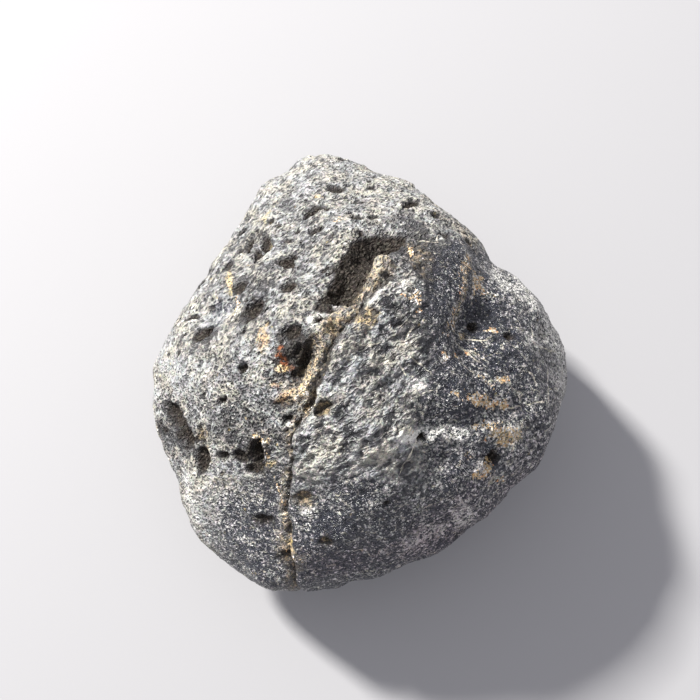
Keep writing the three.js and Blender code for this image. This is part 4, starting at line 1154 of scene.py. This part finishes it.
class TektiteSkin:
    """The look of the frosted glass, laid on in coats from the bare glass up. Its patterns are
    noises and cells on the piece's own place, and the values stored on the piece's points."""

    def __init__(self, nodes, settings):
        self.nodes = nodes
        self.settings = settings
        self.place = nodes.add("ShaderNodeTexCoord").outputs["Object"]
        self.bent = nodes.bent(self.place, *BENDING)
        self.grain = fine_grain(nodes, self.bent)
        self.coarse = nodes.noise(self.place, COARSE_SIZE)
        self.fine = nodes.noise(self.place, FINE_SIZE, FINE_DETAIL)
        self.crumbs = nodes.noise(self.place, CRUMB_SIZE, *CRUMB_ROUGHNESS)
        crumpled = nodes.bent(self.place, *CRUMPLING)
        self.speck_far, speck_colour = nodes.cells(crumpled, SPECK_CELL)
        self.speck = nodes.split(speck_colour)
        self.salt_far, self.salt_colour = nodes.cells(crumpled, SALT_CELL)
        self.salt = nodes.split(self.salt_colour)
        self.salt_spot = nodes.remap(self.salt_far, *SALT_SPOT_EDGE)
        self.frost = nodes.attribute("frost")
        # The hollow value is dirt and painted shade in pits, the trench and the crack.
        self.hollow = nodes.attribute("hollow")
        self.blue_bounce = nodes.attribute("blue_bounce")
        self.streaked = nodes.remap(nodes.attribute("streaked"), *STREAKED_SIDES)
        self.score = self.frost_score()
        self.flecks = self.streak_flecks()
        self.gaps = self.streak_gaps()
        self.silt = nodes.times(nodes.attribute("silt"), nodes.remap(self.fine, *SILT_WEAR))
        self.rust = nodes.times(nodes.attribute("rust"), nodes.remap(self.fine, *RUST_SIDES))
        # The glass is bluer where blue bounce light is painted.
        self.glass = nodes.mix(self.blue_bounce, settings.glass_colour, settings.blue_bounce_colour)
        self.colour = self.glass

    def coat(self, cover, colour, blend="MIX"):
        """Lays a colour over the coats below it, as far as the cover goes."""
        self.colour = self.nodes.mix(cover, self.colour, colour, blend)

    def by_streaks(self, elsewhere, on_streaks):
        """A number that differs between streaked skin and the rest."""
        return self.nodes.remap(self.streaked, 0.0, 1.0, elsewhere, on_streaks)

    def frost_score(self):
        """What decides the frosting: crests, grain, noise and the stored frost raise it, hollows
        and streaked skin lower it, and in streaked skin each salt-sized cell has its own share."""
        nodes = self.nodes
        mottle = nodes.noise(self.bent, MOTTLE_SIZE, *MOTTLE_ROUGHNESS)
        salted = nodes.times(self.streaked, nodes.math("SUBTRACT", self.salt[0], 0.5))
        return nodes.total(
            (self.grain, SCORE_OF_GRAIN),
            (nodes.attribute("crest"), SCORE_OF_CRESTS),
            (self.fine, SCORE_OF_FINE),
            (mottle, SCORE_OF_MOTTLE),
            (self.frost, 1.0),
            (self.hollow, SCORE_OF_HOLLOWS),
            (salted, SCORE_OF_SALT),
            (self.streaked, SCORE_OF_STREAKS),
        )

    def streak_flecks(self):
        """Flecks drawn out along the streaks, more of them where the skin is frosted."""
        nodes = self.nodes
        flecks = nodes.noise(nodes.drawn_out(self.bent, *FLECK_WAY), FLECK_SIZE, *FLECK_ROUGHNESS)
        flecks = nodes.total(
            (flecks, 1.0), (self.frost, FLECKS_OF_FROST), (self.coarse, FLECKS_OF_COARSE)
        )
        return nodes.times(nodes.remap(flecks, *FLECK_SIDES), self.streaked)

    def streak_gaps(self):
        """Gaps drawn out along the streaks, with fewer on the rest of the skin."""
        nodes = self.nodes
        gaps = nodes.noise(nodes.drawn_out(self.place, *FLECK_WAY), GAP_SIZE, *GAP_ROUGHNESS)
        return nodes.times(nodes.remap(gaps, *GAP_SIDES), self.by_streaks(*GAP_COVER))

    def frost_glass(self):
        """Frosting over the dark glass where the score is high: grey, with cream areas, which skin
            with painted blue bounce light has less of."""
        nodes, settings = self.nodes, self.settings
        broad = nodes.noise(self.place, BROAD_SIZE, BROAD_DETAIL)
        tint = nodes.mix(nodes.remap(broad, *CREAM_SIDES), settings.frost_colour, settings.cream_colour)
        tint = nodes.mix(nodes.times(self.blue_bounce, CREAM_LOST_TO_BLUE_BOUNCE), tint, settings.frost_colour)
        self.coat(nodes.remap(self.score, settings.frost_starts, settings.frost_full), tint)

    def strew_specks(self):
        """Whitest specks where the skin is frosted, and rare ochre ones, one to a cell."""
        nodes, settings = self.nodes, self.settings
        spot = nodes.remap(self.speck_far, *SPECK_EDGE)
        white = nodes.times(nodes.remap(self.speck[0], *WHITE_SPECK_CHANCE), spot)
        start = settings.frost_starts - SPECKS_BEFORE_FROST
        white = nodes.times(white, nodes.remap(self.score, start, settings.frost_full))
        self.coat(nodes.times(white, WHITE_SPECK_COVER), settings.speck_and_glint_colour)
        ochre = nodes.times(nodes.remap(self.speck[1], *OCHRE_SPECK_CHANCE), spot)
        self.coat(nodes.times(ochre, OCHRE_SPECK_COVER), settings.ochre_colour)

    def salt_streaks(self):
        """Salt-sized cells: some are gaps that show the glass, and on streaked skin some are white
            points of painted glint."""
        nodes = self.nodes
        gap = nodes.times(nodes.remap(self.salt[1], *SALT_GAP_CHANCE), self.salt_spot)
        self.coat(nodes.times(gap, self.by_streaks(*SALT_GAP_COVER)), self.glass)
        # Painted glints: white salt-sized points on streaked skin.
        painted_glints = nodes.total(
            (self.salt[2], 1.0), (self.coarse, GLINTS_OF_COARSE), (self.frost, GLINTS_OF_FROST)
        )
        painted_glints = nodes.times(nodes.remap(painted_glints, *GLINT_SIDES), self.streaked, self.salt_spot)
        self.coat(nodes.times(painted_glints, GLINT_COVER), self.settings.speck_and_glint_colour)

    def fleck_streaks(self):
        """Pale flecks along the streaks, and gaps that show the glass."""
        self.coat(self.nodes.times(self.flecks, FLECK_COVER), self.settings.speck_and_glint_colour)
        self.coat(self.gaps, self.glass)

    def draw_threads(self):
        """A web on streaked skin, where noise crosses its middle, and the stored threads."""
        nodes, settings = self.nodes, self.settings
        web = nodes.remap(nodes.from_middle(nodes.noise(self.bent, WEB_SIZE, 1.0)), *WEB_SIDES)
        web = nodes.times(web, self.streaked, nodes.remap(self.coarse, *WEB_PATCHES))
        self.coat(nodes.times(web, WEB_COVER), settings.thread_colour)
        thread = nodes.remap(nodes.from_middle(nodes.attribute("thread_across")), *THREAD_SIDES)
        thread = nodes.times(thread, nodes.attribute("thread_near"), nodes.remap(self.fine, *THREAD_WEAR))
        self.coat(thread, settings.thread_colour)

    def chalk_skin(self):
        """Chalky white crust on the stored patches, broken up by the grain."""
        nodes = self.nodes
        chalk = nodes.remap(nodes.total((self.fine, 1.0), (self.grain, CHALK_OF_GRAIN)), *CHALK_SIDES)
        powdery = nodes.mix(self.streaked, ALL_OVER, nodes.remap(self.salt[0], *POWDER_CHANCE))
        chalk = nodes.times(chalk, powdery, nodes.attribute("chalk"))
        self.coat(chalk, self.settings.speck_and_glint_colour)

    def darken_hollows(self):
        """Dirt and painted shade in the hollows where no frosting covers it, dusty in places."""
        nodes, settings = self.nodes, self.settings
        bare = nodes.remap(self.score, settings.frost_full, settings.frost_starts)
        dusty = nodes.remap(self.fine, *DUST_ON_DIRT_AND_SHADE)
        dirt_and_shade = nodes.mix(dusty, settings.dirt_and_shade_colour, settings.silt_colour)
        self.coat(nodes.times(self.hollow, bare), dirt_and_shade)

    def lay_silt(self):
        """Brown-grey silt with paler clay on its crests and crumbs."""
        nodes, settings = self.nodes, self.settings
        crests = nodes.remap(self.grain, *SILT_CRESTS)
        tint = nodes.mix(crests, settings.silt_colour, settings.clay_colour)
        tint = nodes.mix(nodes.remap(self.crumbs, *SILT_CRUMBS), tint, settings.silt_colour)
        self.coat(nodes.times(self.silt, SILT_COVER), tint)

    def lay_clay(self):
        """Crumbs of dried clay on the stored patches, some of them peach or white."""
        nodes, settings = self.nodes, self.settings
        stored = nodes.attribute("clay")
        clay = nodes.total((stored, 1.0), (self.salt[2], CLAY_OF_SALT), (self.crumbs, CLAY_OF_CRUMBS))
        clay = nodes.times(nodes.remap(clay, *CLAY_SIDES), nodes.remap(stored, *CLAY_PATCH_SIDES))
        peach = nodes.remap(self.salt[1], *PEACH_CHANCE)
        tint = nodes.mix(peach, settings.clay_colour, settings.peach_colour)
        tint = nodes.mix(nodes.remap(self.salt[0], *WHITE_CLAY_CHANCE), tint, settings.speck_and_glint_colour)
        self.coat(clay, tint)

    def lay_ochre(self):
        """Yellow ochre on the stored patches, paler in places."""
        nodes, settings = self.nodes, self.settings
        ochre = nodes.times(nodes.attribute("ochre"), nodes.remap(self.fine, *OCHRE_SIDES))
        paler = nodes.remap(self.coarse, *OCHRE_CLAY_SIDES)
        self.coat(ochre, nodes.mix(paler, settings.ochre_colour, settings.clay_colour))

    def speckle(self):
        """Lighter and darker salt-sized cells, with a trace of colour."""
        self.coat(self.by_streaks(*SPECKLE_COVER), self.salt[0], "OVERLAY")
        self.coat(SPECKLE_TINT, self.salt_colour, "OVERLAY")

    def roughness(self):
        """Roughness: the bare glass's, more where frosted, silted, stained or hollow."""
        settings = self.settings
        frosted = self.nodes.remap(self.score, settings.frost_starts, settings.frost_full)
        return self.nodes.total(
            (frosted, ROUGHNESS_OF_FROST),
            (self.silt, ROUGHNESS_OF_STAINS),
            (self.rust, ROUGHNESS_OF_STAINS),
            (self.hollow, ROUGHNESS_OF_HOLLOWS),
            (settings.glass_roughness, 1.0),
            (self.streaked, ROUGHNESS_OF_STREAKS),
        )

    def bumps(self):
        """The facing of the skin, with the grain that is finer than the mesh."""
        height = self.nodes.total(
            (self.grain, HEIGHT_OF_GRAIN),
            (self.fine, HEIGHT_OF_GRAIN),
            (self.coarse, HEIGHT_OF_COARSE),
            (self.flecks, HEIGHT_OF_FLECKS),
            (self.gaps, HEIGHT_OF_GAPS),
        )
        bump = self.nodes.add("ShaderNodeBump")
        self.nodes.link(height, bump.inputs["Height"])
        bump.inputs["Strength"].default_value = BUMP_STRENGTH
        bump.inputs["Distance"].default_value = self.settings.bump_height
        return bump.outputs["Normal"]


def glass_material(settings):
    """Frosted dark natural glass: the glass shows in the hollows, frosting whitens the crests, and
    clay and iron stain lie where the piece's own values put them."""
    material = bpy.data.materials.new("frosted_glass")
    nodes = Nodes(material)
    skin = TektiteSkin(nodes, settings)
    skin.frost_glass()
    skin.strew_specks()
    skin.salt_streaks()
    skin.fleck_streaks()
    skin.draw_threads()
    skin.chalk_skin()
    # Dirt and painted shade in pits, the trench and the crack's groove.
    skin.darken_hollows()
    # Painted shade: rose-lavender tint multiplied in low on the south rim.
    skin.coat(nodes.attribute("rose_shade"), settings.rose_shade_colour, "MULTIPLY")
    skin.lay_silt()
    skin.lay_clay()
    skin.lay_ochre()
    skin.coat(skin.rust, settings.rust_colour)
    skin.speckle()
    shader = nodes.add("ShaderNodeBsdfPrincipled")
    nodes.link(skin.colour, shader.inputs["Base Color"])
    nodes.link(skin.roughness(), shader.inputs["Roughness"])
    nodes.link(skin.bumps(), shader.inputs["Normal"])
    nodes.link(nodes.remap(skin.hollow, *HOLLOW_SHINE), shader.inputs["Specular IOR Level"])
    shader.inputs["IOR"].default_value = GLASS_IOR
    output = nodes.add("ShaderNodeOutputMaterial")
    nodes.link(shader.outputs["BSDF"], output.inputs["Surface"])
    return material


def floor_material(colour):
    """A plain matt table top."""
    material = bpy.data.materials.new("pale_table")
    nodes = Nodes(material)
    shader = nodes.add("ShaderNodeBsdfPrincipled")
    shader.inputs["Base Color"].default_value = colour
    shader.inputs["Roughness"].default_value = FLOOR_ROUGHNESS
    output = nodes.add("ShaderNodeOutputMaterial")
    nodes.link(shader.outputs["BSDF"], output.inputs["Surface"])
    return material


# ---- Settings -------------------------------------------------------------------------------
def length_property(name, description, default):
    """A length in metres that the user can set."""
    return bpy.props.FloatProperty(
        name=name, description=description, default=default, min=0.0, precision=5, unit="LENGTH"
    )


def colour_property(name, description, default):
    """A colour that the user can pick."""
    return bpy.props.FloatVectorProperty(
        name=name, description=description, default=default, size=4, min=0.0, max=1.0, subtype="COLOR"
    )


class TektiteLumpSettings(bpy.types.PropertyGroup):
    fineness: bpy.props.IntProperty(
        name="Fineness", description="Squares along each of the six grids", default=128, min=8, max=128
    )
    gather: bpy.props.FloatProperty(
        name="Gather", description="How far the squares crowd towards the crown", default=0.28,
        min=0.0, max=0.6,
    )
    ridge_height: length_property("Ridge height", "Height of the crown's flow ridges", 0.00034)
    pore_depth: length_property("Pore depth", "Depth of the etched pores", 0.00028)
    bump_height: length_property("Bump height", "Height of the finest grain", 0.00042)
    glass_colour: colour_property("Glass", "Bare dark glass", (0.040, 0.040, 0.043, 1.0))
    # Bluer glass that stands for painted blue bounce light on the shaded skin.
    blue_bounce_colour: colour_property("Slate glass", "Bluish dark glass", (0.036, 0.040, 0.054, 1.0))
    # Dirt and painted shade: the colour laid in pits, the trench and the crack.
    dirt_and_shade_colour: colour_property("Hollows", "Dirt in pits and cracks", (0.022, 0.018, 0.015, 1.0))
    frost_colour: colour_property("Frosting", "Bluish grey frosted skin", (0.385, 0.395, 0.395, 1.0))
    cream_colour: colour_property("Cream frosting", "Cream frosted skin", (0.46, 0.44, 0.375, 1.0))
    # The whitest specks, chalk and white clay, and also the painted glints on streaked skin.
    speck_and_glint_colour: colour_property("Specks", "Whitest specks", (0.90, 0.89, 0.83, 1.0))
    silt_colour: colour_property("Silt", "Brown-grey silt in cracks and pits", (0.135, 0.12, 0.10, 1.0))
    clay_colour: colour_property("Clay", "Pale dried clay", (0.82, 0.64, 0.38, 1.0))
    ochre_colour: colour_property("Ochre", "Yellow specks", (0.60, 0.47, 0.20, 1.0))
    rust_colour: colour_property("Iron stain", "Orange stain", (0.32, 0.11, 0.045, 1.0))
    peach_colour: colour_property("Peach clay", "Clay stained by iron", (0.84, 0.47, 0.23, 1.0))
    thread_colour: colour_property("Threads", "Thin pale threads", (0.72, 0.68, 0.56, 1.0))
    # Painted shade: the rose-lavender tint multiplied into the low south rim.
    rose_shade_colour: colour_property("Rose tint", "Pinkish lavender film", (1.0, 0.82, 0.94, 1.0))
    frost_starts: bpy.props.FloatProperty(
        name="Frost starts", description="Score of the skin where frosting starts", default=2.24
    )
    frost_full: bpy.props.FloatProperty(
        name="Frost full", description="Score of the skin where frosting is full", default=3.3
    )
    glass_roughness: bpy.props.FloatProperty(
        name="Glass roughness", description="Roughness of bare glass", default=0.32,
        min=0.0, max=1.0, subtype="FACTOR",
    )


class TektiteStageSettings(bpy.types.PropertyGroup):
    floor_size: length_property("Floor size", "Side of the table top", 4.0)
    floor_colour: colour_property("Floor", "Pale table top", (0.40, 0.40, 0.41, 1.0))
    key_power: bpy.props.FloatProperty(
        name="Key power", description="Main light, watts", default=20.0, min=0.0, unit="POWER"
    )
    key_size: length_property("Key size", "Side of the main light", 0.1)
    key_distance: length_property("Key distance", "From the lump to the main light", 0.9)
    key_bearing: bpy.props.FloatProperty(
        name="Key bearing", description="Where the main light stands", default=math.radians(138),
        subtype="ANGLE",
    )
    key_elevation: bpy.props.FloatProperty(
        name="Key elevation", description="Height of the main light", default=math.radians(36),
        subtype="ANGLE",
    )
    key_colour: colour_property("Key colour", "Warm white of the main light", (1.0, 0.975, 0.94, 1.0))
    sky_strength: bpy.props.FloatProperty(
        name="Room light", description="Soft light from all round", default=0.62, min=0.0
    )
    sky_colour: colour_property("Room colour", "Cool white of the soft light", (0.94, 0.93, 1.0, 1.0))
    camera_elevation: bpy.props.FloatProperty(
        name="Camera elevation", description="How steeply the camera looks down", default=math.radians(75),
        subtype="ANGLE",
    )
    camera_distance: length_property("Camera distance", "From the camera to the lump", 0.123)
    camera_angle: bpy.props.FloatProperty(
        name="Camera angle", description="Angle of view", default=math.radians(45), subtype="ANGLE"
    )


# ---- Operators ----------------------------------------------------------------------------------
class TEKTITE_OT_lump(bpy.types.Operator):
    """Build the tektite itself"""

    bl_idname = "tektite.lump"
    bl_label = "Tektite lump"

    def execute(self, context):
        settings = context.scene.tektite_lump
        dirs, faces = ball_grid(settings.fineness, settings.gather)
        form, body, knows = lump_form(dirs)
        parts = regions(body, knows)
        relief, crest, sparse = skin_relief(body, parts, settings)
        height = form[:, 2] + MIDDLE[2]
        relief = relief * smooth(height / FOOT_FADE)
        points = form + outward_normals(form, faces) * relief[:, None] + MIDDLE
        points[:, 2] = np.maximum(points[:, 2], 0.0)
        values = skin_colours(body, parts, knows, crest, sparse) | parts
        piece = smooth_mesh("tektite_lump", points, faces, values)
        piece.data.materials.append(glass_material(settings))
        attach(piece, "root")
        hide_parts("tektite")
        return {"FINISHED"}


class TEKTITE_OT_stage(bpy.types.Operator):
    """Lay the table, hang the lights and set up the camera"""

    bl_idname = "tektite.stage"
    bl_label = "Table, light and camera"

    def execute(self, context):
        settings = context.scene.tektite_stage
        self.lay_floor(settings)
        low, high = (np.array(corner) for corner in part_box("tektite"))
        middle = Vector((low + high) / 2)
        self.hang_key(settings, middle)
        self.light_room(context, settings)
        self.set_camera(context, settings, middle)
        return {"FINISHED"}

    def lay_floor(self, settings):
        """A flat square grid at z = 0."""
        half = settings.floor_size / 2 / MM
        steps = np.linspace(-half, half, FLOOR_POINTS)
        x, y = np.meshgrid(steps, steps, indexing="ij")
        points = np.stack([x, y, np.zeros_like(x)], -1).reshape(-1, 3)
        floor = smooth_mesh("table_top", points, grid_squares(FLOOR_POINTS), {})
        floor.data.materials.append(floor_material(settings.floor_colour))

    def hang_key(self, settings, middle):
        """A square light at a bearing, elevation and distance from the lump, facing it."""
        light = bpy.data.lights.new("key_light", "AREA")
        light.energy = settings.key_power
        light.size = settings.key_size
        light.color = settings.key_colour[:3]
        lamp = bpy.data.objects.new("key_light", light)
        way = Vector(unit(math.degrees(settings.key_bearing), math.degrees(settings.key_elevation)))
        lamp.location = middle + way * settings.key_distance
        lamp.rotation_euler = (-way).to_track_quat("-Z", "Y").to_euler()
        bpy.context.scene.collection.objects.link(lamp)

    def light_room(self, context, settings):
        """Even soft light from all round, and colours shown as they are."""
        world = bpy.data.worlds.new("pale_room")
        world.use_nodes = True
        background = world.node_tree.nodes["Background"]
        background.inputs["Color"].default_value = settings.sky_colour
        background.inputs["Strength"].default_value = settings.sky_strength
        context.scene.world = world
        context.scene.view_settings.view_transform = "Standard"

    def set_camera(self, context, settings, middle):
        """The camera looks down towards +Y."""
        lens = bpy.data.cameras.new("camera")
        lens.sensor_width = SENSOR_WIDTH
        lens.lens = lens.sensor_width / 2 / math.tan(settings.camera_angle / 2)
        lens.clip_start = NEAREST_SEEN
        camera = bpy.data.objects.new("camera", lens)
        elevation = settings.camera_elevation
        forward = Vector((0, math.cos(elevation), -math.sin(elevation)))
        right = Vector((1, 0, 0))
        up = right.cross(forward)
        aim = middle + Vector(AIM_FROM_MIDDLE)
        camera.location = aim - forward * settings.camera_distance
        camera.location += up * CAMERA_ABOVE - right * CAMERA_LEFT
        camera.rotation_euler = forward.to_track_quat("-Z", "Y").to_euler()
        context.scene.collection.objects.link(camera)
        context.scene.camera = camera


class TEKTITE_PT_panel(bpy.types.Panel):
    """Sizes and colours of the tektite and its stage"""

    bl_idname = "TEKTITE_PT_panel"
    bl_label = "Tektite"
    bl_space_type = "VIEW_3D"
    bl_region_type = "UI"
    bl_category = "Tektite"

    def draw(self, context):
        scene = context.scene
        pairs = ((scene.tektite_lump, TEKTITE_OT_lump), (scene.tektite_stage, TEKTITE_OT_stage))
        for settings, operator in pairs:
            box = self.layout.box()
            for key in type(settings).__annotations__:
                box.prop(settings, key)
            box.operator(operator.bl_idname)


CLASSES = (TektiteLumpSettings, TektiteStageSettings, TEKTITE_OT_lump, TEKTITE_OT_stage, TEKTITE_PT_panel)


def register():
    for kind in CLASSES:
        bpy.utils.register_class(kind)
    bpy.types.Scene.tektite_lump = bpy.props.PointerProperty(type=TektiteLumpSettings)
    bpy.types.Scene.tektite_stage = bpy.props.PointerProperty(type=TektiteStageSettings)


def unregister():
    del bpy.types.Scene.tektite_stage
    del bpy.types.Scene.tektite_lump
    for kind in reversed(CLASSES):
        bpy.utils.unregister_class(kind)


def main():
    """Builds the tektite and its stage."""
    register()
    bpy.ops.tektite.lump()
    bpy.ops.tektite.stage()


if __name__ == "__main__":
    main()
